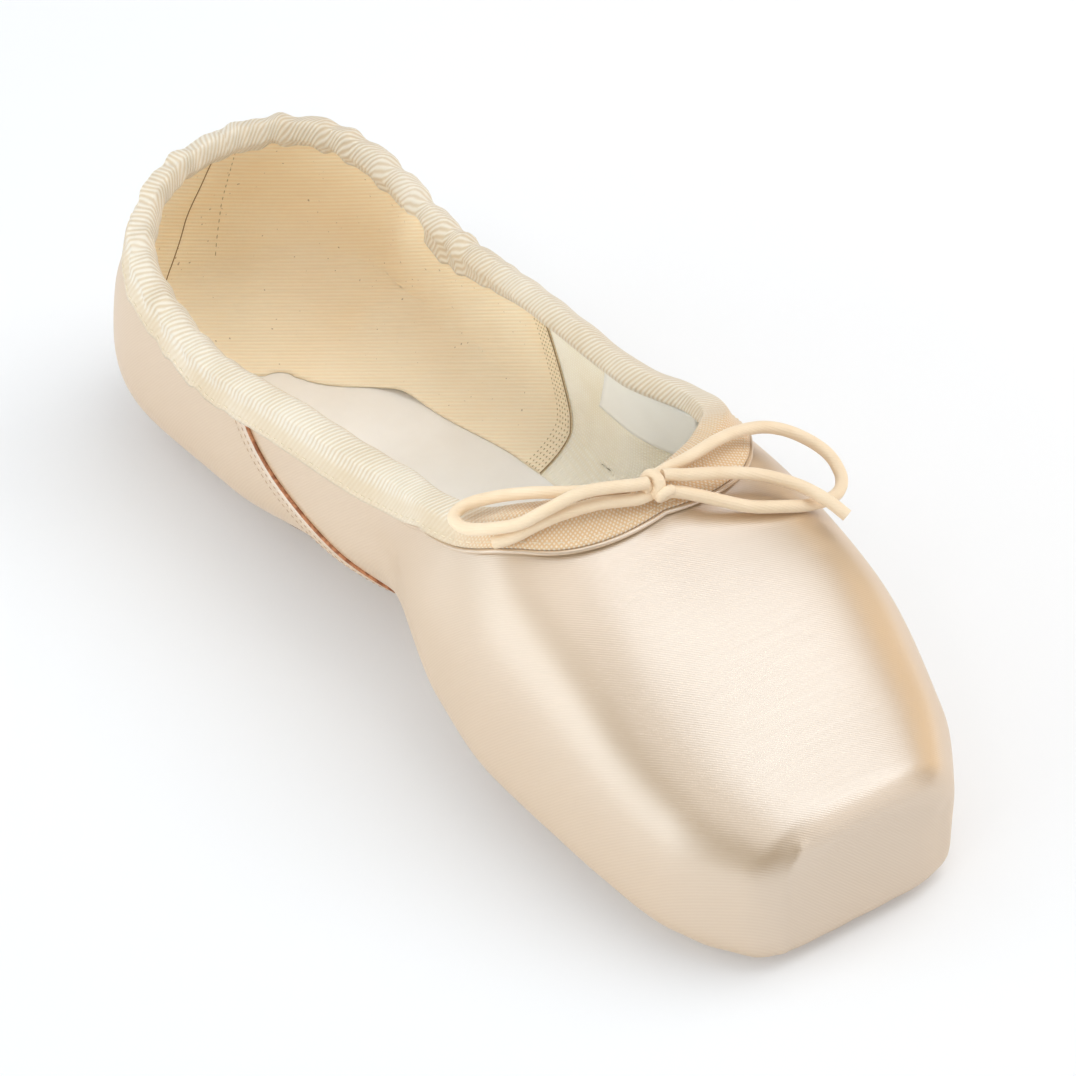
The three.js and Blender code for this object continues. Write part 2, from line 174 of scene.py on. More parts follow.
@dataclass(frozen=True)
class SoftFold:
    """A ridge between two places on the shoe, or a trough where its height is negative."""

    start: Place
    end: Place
    width: float
    height: float
    fade: float = 0.35

    def lift(self, places: np.ndarray) -> np.ndarray:
        """How far the fold lifts the cloth at some places, in millimetres.

        Args:
            places: the places.

        Returns:
            The lift at each.
        """
        start, axis = np.array(self.start), np.subtract(self.end, self.start)
        t = np.clip((places - start) @ axis / (axis @ axis), 0, 1)
        away = np.linalg.norm(places - (start + t[..., None] * axis), axis=-1)
        ends = smoothstep(t, 0, self.fade) * (1 - smoothstep(t, 1 - self.fade, 1))
        return self.height * np.exp(-((away / self.width) ** 2)) * ends


@dataclass(frozen=True)
class SoftEdge:
    """A low ridge along a line through several places on the shoe."""

    route: tuple[Place, ...]
    width: float
    height: float
    steps: int = 12

    def lift(self, places: np.ndarray) -> np.ndarray:
        """How far the edge lifts the cloth at some places, in millimetres.

        Args:
            places: the places.

        Returns:
            The lift at each.
        """
        line = smooth_through(np.array(self.route, dtype=float), self.steps * len(self.route))
        away = np.min([np.linalg.norm(places - point, axis=-1) for point in line], axis=0)
        return self.height * np.exp(-((away / self.width) ** 2))


def total_lift(folds: Sequence[SoftFold], places: np.ndarray) -> np.ndarray:
    """How far several folds lift the cloth together."""
    return sum(fold.lift(places) for fold in folds)


@dataclass
class Last:
    """The shape the shoe is made on, the same as in the part's source."""

    half_ball: float = 40.5
    instep_height: float = 68.0
    heel_height: float = 64.0
    seat_height: float = 2.85
    toe_edge: float = 4.8
    heel_radius: float = 30.0
    heel_squareness: float = 2.3
    heel_pivot: float = 30.0
    toe_pivot: float = 132.0
    spine_height: float = 24.0
    toe_crowding: float = 1.5
    throat_at: float = 161.0
    throat_fall: float = 14.0
    throat_half_width: float = 30.0
    throat_blend: float = 7.0
    turned_margin: float = 8.0
    sole_ends: Span = (9.0, 205.0)
    sole_rounds: Span = (22.0, 30.0)
    halves: Knots = ((0, .8), (.13, .8), (.26, .81), (.39, .785), (.5, .77), (.61, .925), (.705, 1),
                     (.805, .977), (.915, .848), (1, .55))
    crowns: Knots = ((0, 1.4), (.13, 1.4), (.26, 1.32), (.39, 1.235), (.5, 1.12), (.61, 1.01), (.705, .866),
                     (.805, .735), (.915, .558), (1, .44))
    widests: Knots = ((0, .353), (.13, .353), (.26, .38), (.39, .4), (.5, .41), (.61, .36), (.705, .34),
                      (.805, .285), (.915, .212), (1, .203))
    lifts: Knots = ((0, 0), (.13, 0), (.26, 1.8), (.39, 5.8), (.5, 5.6), (.61, .9), (.705, 0), (.805, 0),
                    (.915, -.9), (1, -1.9))
    tops: Knots = ((0, 2.2), (.5, 2.2), (.61, 2.3), (.705, 2.65), (.805, 2.9), (.915, 2.8), (1, 3.2))
    bottoms: Knots = ((0, 3.4), (.26, 3.4), (.39, 2.7), (.5, 2.2), (.61, 3.2), (.705, 4), (.805, 4.4),
                      (.915, 5), (1, 6))
    heel_back: Knots = ((0, 8), (.13, 2.6), (.33, 0), (.55, 1.9), (.76, 7.6), (.95, 13.8), (1.5, 28))
    collar_line: Knots = ((0, .975), (.06, .935), (.13, .78), (.24, .68), (.37, .735), (.48, .77),
                          (.57, .83), (.66, .915))
    sole_line: Knots = ((0, .55), (.17, .57), (.3, .57), (.42, .47), (.51, .46), (.61, .65), (.7, .75),
                        (.79, .73), (.9, .6))
    wall_cloth: float = 1.6
    wall_stiffening: float = 1.2
    stiffened_over: Span = (0.58, 0.8)
    normal_step: float = 0.05
    bisections: int = 28
    toe_lean: float = -2.0
    toe_leans_over: Span = (180.0, 228.0)

    def __post_init__(self) -> None:
        """Makes the curves."""
        self.half = SmoothCurve(self.halves, LENGTH, self.half_ball)
        self.crown = SmoothCurve(self.crowns, LENGTH, self.instep_height)
        self.widest = SmoothCurve(self.widests, LENGTH, self.instep_height)
        self.lift = SmoothCurve(self.lifts, LENGTH)
        self.square_top = SmoothCurve(self.tops, LENGTH)
        self.square_bottom = SmoothCurve(self.bottoms, LENGTH)
        self.setback = SmoothCurve(self.heel_back, self.heel_height)
        self.collar = SmoothCurve(self.collar_line, LENGTH, self.heel_height)
        self.sole = SmoothCurve(self.sole_line, LENGTH, self.half_ball)

    def lean(self, net: np.ndarray) -> np.ndarray:
        """The places moved sideways by the toe's slight lean."""
        aside = self.toe_lean * smoothstep(net[..., 1], *self.toe_leans_over)
        return net + aside[..., None] * np.array([1.0, 0.0, 0.0])

    def wall(self, s: np.ndarray) -> np.ndarray:
        """The upper's wall: cloth at the quarters, stiffened layers in the toe box."""
        return self.wall_cloth + self.wall_stiffening * smoothstep(s / LENGTH, *self.stiffened_over)

    def outside(self, places: np.ndarray, inset: np.ndarray) -> np.ndarray:
        """Positive outside the last pulled in by an inset, negative inside it.

        Args:
            places: the places.
            inset: how far the last is pulled in at each.

        Returns:
            A measure that is 0 on the surface.
        """
        x, s, z = places[..., 0], places[..., 1], places[..., 2]
        heel, toe = self.setback(z) + inset, LENGTH - inset
        past_edge = np.clip(s - (toe - self.toe_edge), 0, self.toe_edge)
        pull = inset + self.toe_edge - np.sqrt(self.toe_edge**2 - past_edge**2)
        near_heel = np.clip((self.heel_radius - (s - heel)) / self.heel_radius, 0, 1)
        share = np.maximum(1 - near_heel**self.heel_squareness, 1e-12) ** (1 / self.heel_squareness)
        half = np.maximum((self.half(s) - pull) * share, 1e-6)
        widest = self.widest(s)
        above = z >= widest
        floor = self.seat_height + self.lift(s) + pull
        reach = np.where(above, self.crown(s) - pull - widest, widest - floor)
        power = np.where(above, self.square_top(s), self.square_bottom(s))
        measure = (np.abs(x) / half) ** power + (np.abs(z - widest) / reach) ** power - 1
        measure = np.where(s >= toe, 1 + s - toe, measure)
        return np.where(s <= heel, 1 + heel - s, measure)

    def search(self, origins: np.ndarray, headings: np.ndarray, is_out: Rule) -> np.ndarray:
        """Distances along rays to where they leave a shape.

        Args:
            origins: where the rays start, inside it.
            headings: unit directions.
            is_out: tells which places lie outside.

        Returns:
            The distances.
        """
        near = np.zeros(np.broadcast_shapes(origins.shape, headings.shape)[:-1])
        far = np.full_like(near, LENGTH)
        for _ in range(self.bisections):
            middle = (near + far) / 2
            out = is_out(origins + headings * middle[..., None])
            far, near = np.where(out, middle, far), np.where(out, near, middle)
        return near

    def cast(self, origins: np.ndarray, headings: np.ndarray, inset: Rule) -> np.ndarray:
        """The last's surface along rays from inside it.

        Args:
            origins: where the rays start.
            headings: unit directions.
            inset: the inset for each s.

        Returns:
            The places where the rays meet the surface.
        """
        reach = self.search(origins, headings, lambda at: self.outside(at, inset(at[..., 1])) > 0)
        return origins + headings * reach[..., None]

    def sole_half(self, s: np.ndarray, grow: float) -> np.ndarray:
        """Half the sole's width at s, grown all round; negative past its ends.

        Args:
            s: places along the shoe.
            grow: how far the outline is grown.

        Returns:
            The half widths.
        """
        from_heel, from_toe = s - (self.sole_ends[0] - grow), self.sole_ends[1] + grow - s
        heel = np.clip(1 - from_heel / self.sole_rounds[0], 0, 1)
        toe = np.clip(1 - from_toe / self.sole_rounds[1], 0, 1)
        half = (self.sole(s) + grow) * np.sqrt(1 - heel**2) * np.sqrt(1 - toe**2)
        return np.where((from_heel <= 0) | (from_toe <= 0), -1.0, half)

    def above_collar(self, places: np.ndarray) -> np.ndarray:
        """Positive above the collar and behind the throat, where the shoe is open.

        Args:
            places: the places.

        Returns:
            A measure that is 0 along the opening's edge.
        """
        over = places[..., 2] - self.collar(places[..., 1])
        fall = self.throat_fall * (places[..., 0] / self.throat_half_width) ** 2
        behind = self.throat_at - fall - places[..., 1]
        blend = np.maximum(self.throat_blend - np.abs(over - behind), 0) / self.throat_blend
        return np.minimum(over, behind) - blend**2 * self.throat_blend / 4

    def stations(self, fans: Fans) -> tuple[np.ndarray, np.ndarray]:
        """Starts on the spine and headings, from heel centre to toe centre along one side.

        Args:
            fans: the columns asked for.

        Returns:
            The starts, and unit headings level with the floor.
        """
        heel = (math.pi / 2) * (np.arange(fans.heel) / fans.heel - 1)
        side = np.linspace(self.heel_pivot, self.toe_pivot, fans.side, endpoint=False)
        share = np.arange(fans.toe + 1) / fans.toe
        toe = (math.pi / 2) * (1 - (1 - share) ** self.toe_crowding)
        angles = np.concatenate([heel, np.zeros(fans.side), toe])
        pivots = np.full(fans.heel, self.heel_pivot), np.full(fans.toe + 1, self.toe_pivot)
        along = np.concatenate([pivots[0], side, pivots[1]])
        origins = np.stack([np.zeros_like(along), along, np.full_like(along, self.spine_height)], axis=-1)
        headings = np.stack([np.cos(angles), np.sin(angles), np.zeros_like(angles)], axis=-1)
        return origins, headings

    def profiles(self, fans: Fans, inset: Rule, rays: int = 320) -> list[np.ndarray]:
        """Lines from the sole's rim up to the collar, one for each station.

        Args:
            fans: the columns asked for.
            inset: the inset for each s.
            rays: rays in each station's plane.

        Returns:
            One run of places for each station.
        """
        origins, headings = self.stations(fans)
        tilt = math.pi * (np.arange(1, rays) / rays - 0.5)
        fan = headings[:, None, :] * np.cos(tilt)[None, :, None]
        fan[..., 2] = np.sin(tilt)
        hits = self.cast(origins[:, None, :], fan, inset)
        rims = np.abs(hits[..., 0]) - self.sole_half(hits[..., 1], -self.turned_margin)
        tops = self.above_collar(hits)
        lines = []
        for line, rim, top in zip(hits, rims, tops):
            first = int(np.argmax((rim[:-1] < 0) & (rim[1:] >= 0)))
            end = first + 1 + int(np.argmax(top[first + 1:] > 0))
            ends = [crossing(line, rim, first), crossing(line, top, end - 1)]
            lines.append(np.vstack([ends[0], line[first + 1:end], ends[1]]))
        return lines

    def reach(self, origins: np.ndarray, headings: np.ndarray, grow: float) -> np.ndarray:
        """Distances along headings to the sole's outline."""
        return self.search(origins, headings, lambda at: np.abs(at[:, 0]) > self.sole_half(at[:, 1], grow))

    def on_side(self, line: Sequence[Span], side: Side, inset: Rule) -> np.ndarray:
        """Places on a side wall at given (s, z)."""
        starts = np.array([(0.0, s, z) for s, z in line])
        return self.cast(starts, np.array([[float(side.value), 0.0, 0.0]]), inset)

    def outward(self, places: np.ndarray, inset: Rule) -> np.ndarray:
        """Unit normals of the last at places on it.

        Args:
            places: the places.
            inset: the inset for each s.

        Returns:
            One normal for each place.
        """
        step, depth = self.normal_step, inset(places[..., 1])
        slope = np.stack([
            self.outside(places + step * axis, depth) - self.outside(places - step * axis, depth)
            for axis in np.eye(3)
        ], axis=-1)
        return slope / np.linalg.norm(slope, axis=-1, keepdims=True)

    def underside(self, places: np.ndarray, inset: Rule) -> np.ndarray:
        """Height of the last's underside below some places of the plan.

        Args:
            places: the places; their own height isn't read.
            inset: the inset for each s.

        Returns:
            The heights.
        """
        starts = places.copy()
        starts[..., 2] = self.spine_height
        down = np.broadcast_to(np.array([0.0, 0.0, -1.0]), starts.shape)
        return self.cast(starts, down, inset)[..., 2]


def crossing(line: np.ndarray, measure: np.ndarray, at: int) -> np.ndarray:
    """The place after a line's point where a measure changes sign."""
    share = measure[at] / (measure[at] - measure[at + 1])
    return line[at] + (line[at + 1] - line[at]) * np.clip(share, 0, 1)


def run_of(line: np.ndarray) -> np.ndarray:
    """Running length along a line of places."""
    return np.concatenate([[0.0], np.cumsum(np.linalg.norm(np.diff(line, axis=0), axis=-1))])


def along(line: np.ndarray, run: np.ndarray, at: np.ndarray) -> np.ndarray:
    """Places at given lengths along a line."""
    return np.stack([np.interp(at, run, line[:, k]) for k in range(3)], axis=-1)


def resample(line: np.ndarray, rows: int, turn_weight: float = 20.0) -> np.ndarray:
    """A line's places again, closer together where it turns.

    Args:
        line: the places.
        rows: how many are asked for.
        turn_weight: millimetres of line that a turn of one radian counts for.

    Returns:
        The new places.
    """
    step = np.diff(line, axis=0)
    length = np.linalg.norm(step, axis=-1)
    unit = step / np.maximum(length, 1e-9)[:, None]
    turn = np.arccos(np.clip((unit[1:] * unit[:-1]).sum(-1), -1, 1))
    run = np.concatenate([[0.0], np.cumsum(length + turn_weight * np.append(turn, 0.0))])
    return along(line, run, np.linspace(0, run[-1], rows))


def smooth_through(knots: np.ndarray, count: int, fineness: int = 40) -> np.ndarray:
    """A soft line through a few places, evenly spaced.

    Args:
        knots: the places it runs through.
        count: how many places are asked for.
        fineness: steps between two knots before they are spaced out.

    Returns:
        The line's places.
    """
    run = run_of(knots)
    curves = [SmoothCurve(np.stack([run, knots[:, k]], axis=-1)) for k in range(3)]
    fine = np.linspace(0, run[-1], fineness * len(knots))
    line = np.stack([curve(fine) for curve in curves], axis=-1)
    length = run_of(line)
    return along(line, length, np.linspace(0, length[-1], count))


def smooth_pairs(knots: Sequence[Span], count: int) -> np.ndarray:
    """Evenly spaced (s, z) on a soft line through a few."""
    flat = np.array([(0.0, s, z) for s, z in knots])
    return smooth_through(flat, count)[:, 1:]


def whole_ring(far: np.ndarray, near: np.ndarray | None = None) -> np.ndarray:
    """A ring of columns: heel, near side, toe, far side, heel again.

    Args:
        far: the far side's columns from heel to toe.
        near: the near side's, written as if on the far side; the far side's own where left out.

    Returns:
        The columns in order round the shoe.
    """
    mirrored = (far if near is None else near) * np.array([-1.0, 1.0, 1.0])
    return np.concatenate([mirrored, far[-2::-1]])


def faces_out(net: np.ndarray) -> np.ndarray:
    """Unit normals of a ring of cloth whose rows run upwards outside the shoe.

    Args:
        net: columns of places, the last one on the first.

    Returns:
        One normal for each place.
    """
    normal = np.cross(np.gradient(net, axis=1), np.gradient(net, axis=0))
    normal /= np.maximum(np.linalg.norm(normal, axis=-1, keepdims=True), 1e-9)
    seam = normal[0] + normal[-1]
    normal[0] = normal[-1] = seam / np.maximum(np.linalg.norm(seam, axis=-1, keepdims=True), 1e-9)
    return normal


def select_only(piece: Piece) -> None:
    """Makes one object the only selected and the active one.

    Args:
        piece: the object.
    """
    bpy.ops.object.select_all(action="DESELECT")
    piece.select_set(True)
    bpy.context.view_layer.objects.active = piece


def rename(piece: Piece, name: str) -> Piece:
    """Names an object and its data alike."""
    piece.name = piece.data.name = name
    return piece


def thicken(piece: Piece, thickness: float, offset: float = -1.0) -> None:
    """Gives a net its thickness in millimetres, inwards or to both sides.

    Args:
        piece: the net.
        thickness: its thickness.
        offset: -1 for inwards, 0 for both sides.
    """
    select_only(piece)
    bpy.ops.object.modifier_add(type="SOLIDIFY")
    solidify = piece.modifiers[-1]
    solidify.thickness, solidify.offset = thickness * MM, offset
    bpy.ops.object.modifier_apply(modifier=solidify.name)


def close_up(piece: Piece, closed: bool) -> None:
    """Merges a net's meeting edges, and turns a closed shape's faces outwards.

    Args:
        piece: the mesh.
        closed: whether it has no open edge left.
    """
    select_only(piece)
    bpy.ops.object.mode_set(mode="EDIT")
    bpy.ops.mesh.select_all(action="SELECT")
    bpy.ops.mesh.remove_doubles(threshold=MERGE)
    bpy.ops.mesh.dissolve_degenerate(threshold=SLIVER)
    if closed:
        bpy.ops.mesh.normals_make_consistent(inside=False)
    bpy.ops.object.mode_set(mode="OBJECT")
    bpy.ops.object.shade_smooth()


def lay_grid(name: str, net: np.ndarray, lengths: np.ndarray | None = None) -> Piece:
    """A grid primitive laid over a net of places.

    Args:
        name: the piece's name.
        net: columns by rows of places.
        lengths: running lengths in millimetres at each place, kept as the UV map in decimetres.

    Returns:
        The new piece, its faces towards the side from which columns run right and rows up.
    """
    columns, rows = net.shape[:2]
    bpy.ops.object.select_all(action="DESELECT")
    bpy.ops.mesh.primitive_grid_add(x_subdivisions=columns - 1, y_subdivisions=rows - 1, size=1)
    piece = rename(bpy.context.active_object, name)
    points = np.swapaxes(in_shoe(net), 0, 1).reshape(-1, 3)
    piece.data.vertices.foreach_set("co", points.astype(np.float32).ravel())
    if lengths is not None:
        flat = np.swapaxes(lengths, 0, 1).reshape(-1, 2) / DECIMETRE
        corner = np.empty(len(piece.data.loops), dtype=np.int32)
        piece.data.loops.foreach_get("vertex_index", corner)
        piece.data.uv_layers.active.data.foreach_set("uv", flat[corner].astype(np.float32).ravel())
    piece.data.update()
    return piece


def net_lengths(net: np.ndarray) -> np.ndarray:
    """Running lengths of a net: round its middle row, and along each column.

    Args:
        net: columns of places.

    Returns:
        Both lengths at each place, in millimetres.
    """
    middle = net[:, net.shape[1] // 2]
    around = np.broadcast_to(run_of(middle)[:, None], net.shape[:2])
    step = np.linalg.norm(np.diff(net, axis=1), axis=-1)
    up = np.concatenate([np.zeros((len(net), 1)), np.cumsum(step, axis=1)], axis=1)
    return np.stack([around, up], axis=-1)


def lay_cloth(name: str, net: np.ndarray) -> Piece:
    """A ring of cloth with its running lengths, closed where it meets.

    Args:
        name: the piece's name.
        net: columns of places.

    Returns:
        The new piece, still without thickness.
    """
    piece = lay_grid(name, net, net_lengths(net))
    close_up(piece, closed=False)
    return piece


def settle(piece: Piece, finish: "Finish", replaces: Sequence[str] = ()) -> Piece:
    """Gives a piece its finish and its body, and hides the solids that it stands for.

    Args:
        piece: the finished shape.
        finish: what it is made of.
        replaces: the solids that it stands for.

    Returns:
        The same piece.
    """
    piece.data.materials.clear()
    piece.data.materials.append(finish.material())
    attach(piece, BODY)
    if replaces:
        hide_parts(*replaces)
    log.info("%s: %d corners", piece.name, len(getattr(piece.data, "vertices", ())))
    return piece


class Where(Enum):
    """What a pattern follows: the shoe's own space, or the piece's running lengths."""

    OBJECT = "Object"
    LENGTHS = "UV"


class Tree:
    """The nodes of one material."""

    def __init__(self, name: str) -> None:
        """Starts a material with its principled shader.

        Args:
            name: the material's name.
        """
        self.material = bpy.data.materials.new(name)
        self.material.use_nodes = True
        self.nodes = self.material.node_tree.nodes
        self.shader = self.nodes["Principled BSDF"]

    def feed(self, socket: Socket, value: object) -> None:
        """Links a socket, or sets its own value.

        Args:
            socket: the input.
            value: another node's output, or the value.
        """
        if isinstance(value, Socket):
            self.material.node_tree.links.new(value, socket)
        else:
            socket.default_value = value

    def add(self, kind: str, inputs: dict | None = None, **settings: object) -> bpy.types.Node:
        """Adds a node with its settings and inputs.

        Args:
            kind: the node's type.
            inputs: what goes into its sockets, by name or number.
            settings: its own settings.

        Returns:
            The node.
        """
        node = self.nodes.new(kind)
        for key, value in settings.items():
            setattr(node, key, value)
        for key, value in (inputs or {}).items():
            self.feed(node.inputs[key], value)
        return node

    def where(self, source: Where, turn: Place = (0, 0, 0), scale: Place = (1, 1, 1)) -> Socket:
        """Coordinates, turned and scaled.

        Args:
            source: what the pattern follows.
            turn: angles about the three axes.
            scale: factors along them.

        Returns:
            The coordinates.
        """
        start = self.add("ShaderNodeTexCoord").outputs[source.value]
        inputs = {"Vector": start, "Rotation": turn, "Scale": scale}
        return self.add("ShaderNodeMapping", inputs).outputs["Vector"]

    def noise(self, at: Socket, scale: float, detail: float = 2.0) -> Socket:
        """Soft noise, from 0 to 1."""
        inputs = {"Vector": at, "Scale": scale, "Detail": detail}
        return self.add("ShaderNodeTexNoise", inputs).outputs[0]

    def ribs(self, at: Socket, pitch: float, heading: str = "X", wander: float = 0.0) -> Socket:
        """Straight ribs across a heading, from 0 to 1.

        Args:
            at: the coordinates.
            pitch: from rib to rib, in the coordinates' units.
            heading: X, Y, Z or DIAGONAL.
            wander: how far the ribs stray.

        Returns:
            The ribs' height.
        """
        per_unit = 20.0 if heading != "DIAGONAL" else 10.0 * math.sqrt(3)
        inputs = {"Vector": at, "Scale": 2 * math.pi / (per_unit * pitch), "Distortion": wander}
        inputs |= {"Detail": 2.0, "Detail Scale": 0.4}
        node = self.add("ShaderNodeTexWave", inputs, wave_type="BANDS", bands_direction=heading)
        return node.outputs["Fac"]

    def ramp(self, factor: Socket, low: float, high: float) -> Socket:
        """A soft threshold, from 0 to 1."""
        inputs = {"Value": factor, "From Min": low, "From Max": high}
        return self.add("ShaderNodeMapRange", inputs, interpolation_type="SMOOTHSTEP").outputs[0]

    def math(self, kind: str, first: object, second: object) -> Socket:
        """One sum of two numbers."""
        return self.add("ShaderNodeMath", {0: first, 1: second}, operation=kind).outputs[0]

    def scaled(self, value: Socket, factor: float, plus: object) -> Socket:
        """A number times a factor, plus another one."""
        inputs = {0: value, 1: factor, 2: plus}
        return self.add("ShaderNodeMath", inputs, operation="MULTIPLY_ADD").outputs[0]

    def part(self, at: Socket, axis: str) -> Socket:
        """One part of some coordinates."""
        return self.add("ShaderNodeSeparateXYZ", {0: at}).outputs[axis]

    def blend(self, factor: object, first: object, second: object) -> Socket:
        """From the first colour to the second.

        Args:
            factor: how much of the second.
            first: the colour at 0.
            second: the colour at 1.

        Returns:
            The mixed colour.
        """
        node = self.add("ShaderNodeMix", data_type="RGBA")
        for index, value in ((0, factor), (6, first), (7, second)):
            self.feed(node.inputs[index], value)
        return node.outputs[2]

    def bump(self, height: Socket, depth: float, below: object = None) -> Socket:
        """A normal from a height of so many millimetres, over another one.

        Args:
            height: the pattern, from 0 to 1.
            depth: how high it stands at 1.
            below: the normal under it, if any.

        Returns:
            The normal.
        """
        inputs = {"Height": height, "Distance": depth * MM, "Strength": 1.0}
        node = self.add("ShaderNodeBump", inputs)
        if below is not None:
            self.feed(node.inputs["Normal"], below)
        return node.outputs["Normal"]

    def finish(self, **sockets: object) -> Material:
        """Sets the shader's sockets, named with _ for a space.

        Args:
            sockets: values or other nodes' outputs.

        Returns:
            The material.
        """
        for key, value in sockets.items():
            self.feed(self.shader.inputs[key.replace("_", " ")], value)
        return self.material


@dataclass(frozen=True)
class Finish:
    """A finish, made once and shared by its pieces."""

    name: str

    def material(self) -> Material:
        """The finish's one material."""
        return bpy.data.materials.get(self.name) or self.make(Tree(self.name))

    def make(self, tree: Tree) -> Material:
        """Wires the nodes.

        Args:
            tree: the nodes of a new material.

        Returns:
            The wired material.
        """
        raise NotImplementedError


@dataclass(frozen=True)
class Satin(Finish):
    """Heavy satin: a soft wide gloss over a fine slanting weave."""

    light: Colour = srgb(206, 177, 140)
    deep: Colour = srgb(190, 153, 111)
    weave_pitch: float = 0.00045
    weave_tint: float = 0.32
    cloud_tint: float = 0.35
    smoothest: float = 0.29
    slub_roughness: float = 0.12

    def make(self, tree: Tree) -> Material:
        """Wires the nodes.

        Args:
            tree: the nodes of a new material.

        Returns:
            The wired material.
        """
        at = tree.where(Where.OBJECT)
        weave = tree.ribs(at, self.weave_pitch, "DIAGONAL", wander=0.6)
        cloud = tree.noise(at, scale=30.0, detail=4.0)
        slub = tree.noise(tree.where(Where.OBJECT, scale=(60, 1400, 1400)), scale=1.0)
        tint = tree.scaled(weave, self.weave_tint, tree.math("MULTIPLY", cloud, self.cloud_tint))
        colour = tree.blend(tint, self.light, self.deep)
        rough = tree.scaled(slub, self.slub_roughness, self.smoothest)
        normal = tree.bump(weave, depth=0.014, below=tree.bump(cloud, depth=0.12))
        return tree.finish(
            Base_Color=colour, Roughness=rough, Normal=normal, IOR=3.5, Specular_IOR_Level=0.5,
            Sheen_Weight=0.25, Sheen_Roughness=0.4, Sheen_Tint=srgb(255, 246, 232),
        )


@dataclass(frozen=True)
class Twill(Finish):
    """Cotton lining with level ribs and a few dark flecks."""

    light: Colour = srgb(255, 242, 214)
    deep: Colour = srgb(246, 217, 172)
    fleck: Colour = srgb(150, 118, 80)
    # The pale colour below pale_below is painted light: the lining is painted paler towards its foot,
    # standing in for the shade on its upper wall.
    pale: Colour = srgb(255, 249, 234)
    pale_below: Span = (0.012, 0.04)
    wear_and_painted_light: float = 0.3
    rib_pitch: float = 0.00072
    rib_tint: float = -0.3
    cloud_tint: float = 0.8
    fleck_tint: float = 0.6
    slant: Place = (math.radians(31), math.radians(-21), 0.0)

    def make(self, tree: Tree) -> Material:
        """Wires the nodes.

        Args:
            tree: the nodes of a new material.

        Returns:
            The wired material.
        """
        at = tree.where(Where.OBJECT)
        ribs = tree.ribs(tree.where(Where.OBJECT, turn=self.slant), self.rib_pitch, "Z", wander=0.5)
        cloud = tree.noise(at, scale=40.0, detail=4.0)
        yarn = tree.noise(tree.where(Where.OBJECT, scale=(1500, 1500, 700)), scale=1.0)
        shade = tree.scaled(ribs, self.rib_tint, tree.math("MULTIPLY", cloud, self.cloud_tint))
        cloth = tree.blend(tree.ramp(shade, low=-0.2, high=0.75), self.light, self.deep)
        # Painted light: the lining is painted paler towards its foot, standing in for the shade that falls
        # on its upper wall.
        wear_and_painted_light = tree.scaled(tree.ramp(tree.part(at, "Z"), *self.pale_below), -self.wear_and_painted_light, self.wear_and_painted_light)
        cloth = tree.blend(wear_and_painted_light, cloth, self.pale)
        speck = tree.ramp(tree.noise(at, scale=950.0, detail=1.0), low=0.745, high=0.79)
        colour = tree.blend(tree.math("MULTIPLY", speck, self.fleck_tint), cloth, self.fleck)
        normal = tree.bump(ribs, depth=0.09, below=tree.bump(yarn, depth=0.05))
        return tree.finish(Base_Color=colour, Roughness=0.9, Normal=normal, Sheen_Weight=0.2,
                           Specular_IOR_Level=0.2)


@dataclass(frozen=True)
class Canvas(Finish):
    """Plain woven lining of the toe box, paler and greyer than the twill."""

    light: Colour = srgb(255, 250, 236)
    deep: Colour = srgb(246, 236, 212)
    pitch: float = 0.0007
    weave_tint: float = 0.3

    def make(self, tree: Tree) -> Material:
        """Wires the nodes.

        Args:
            tree: the nodes of a new material.

        Returns:
            The wired material.
        """
        at = tree.where(Where.OBJECT)
        weft, warp = (tree.ribs(at, self.pitch, heading, wander=0.5) for heading in "ZY")
        weave = tree.math("MULTIPLY", weft, warp)
        cloud = tree.noise(at, scale=60.0, detail=5.0)
        shade = tree.scaled(weave, -self.weave_tint, cloud)
        colour = tree.blend(tree.ramp(shade, low=0.15, high=0.7), self.light, self.deep)
        normal = tree.bump(weave, depth=0.12, below=tree.bump(cloud, depth=0.5))
        return tree.finish(Base_Color=colour, Roughness=0.92, Normal=normal, Specular_IOR_Level=0.2)


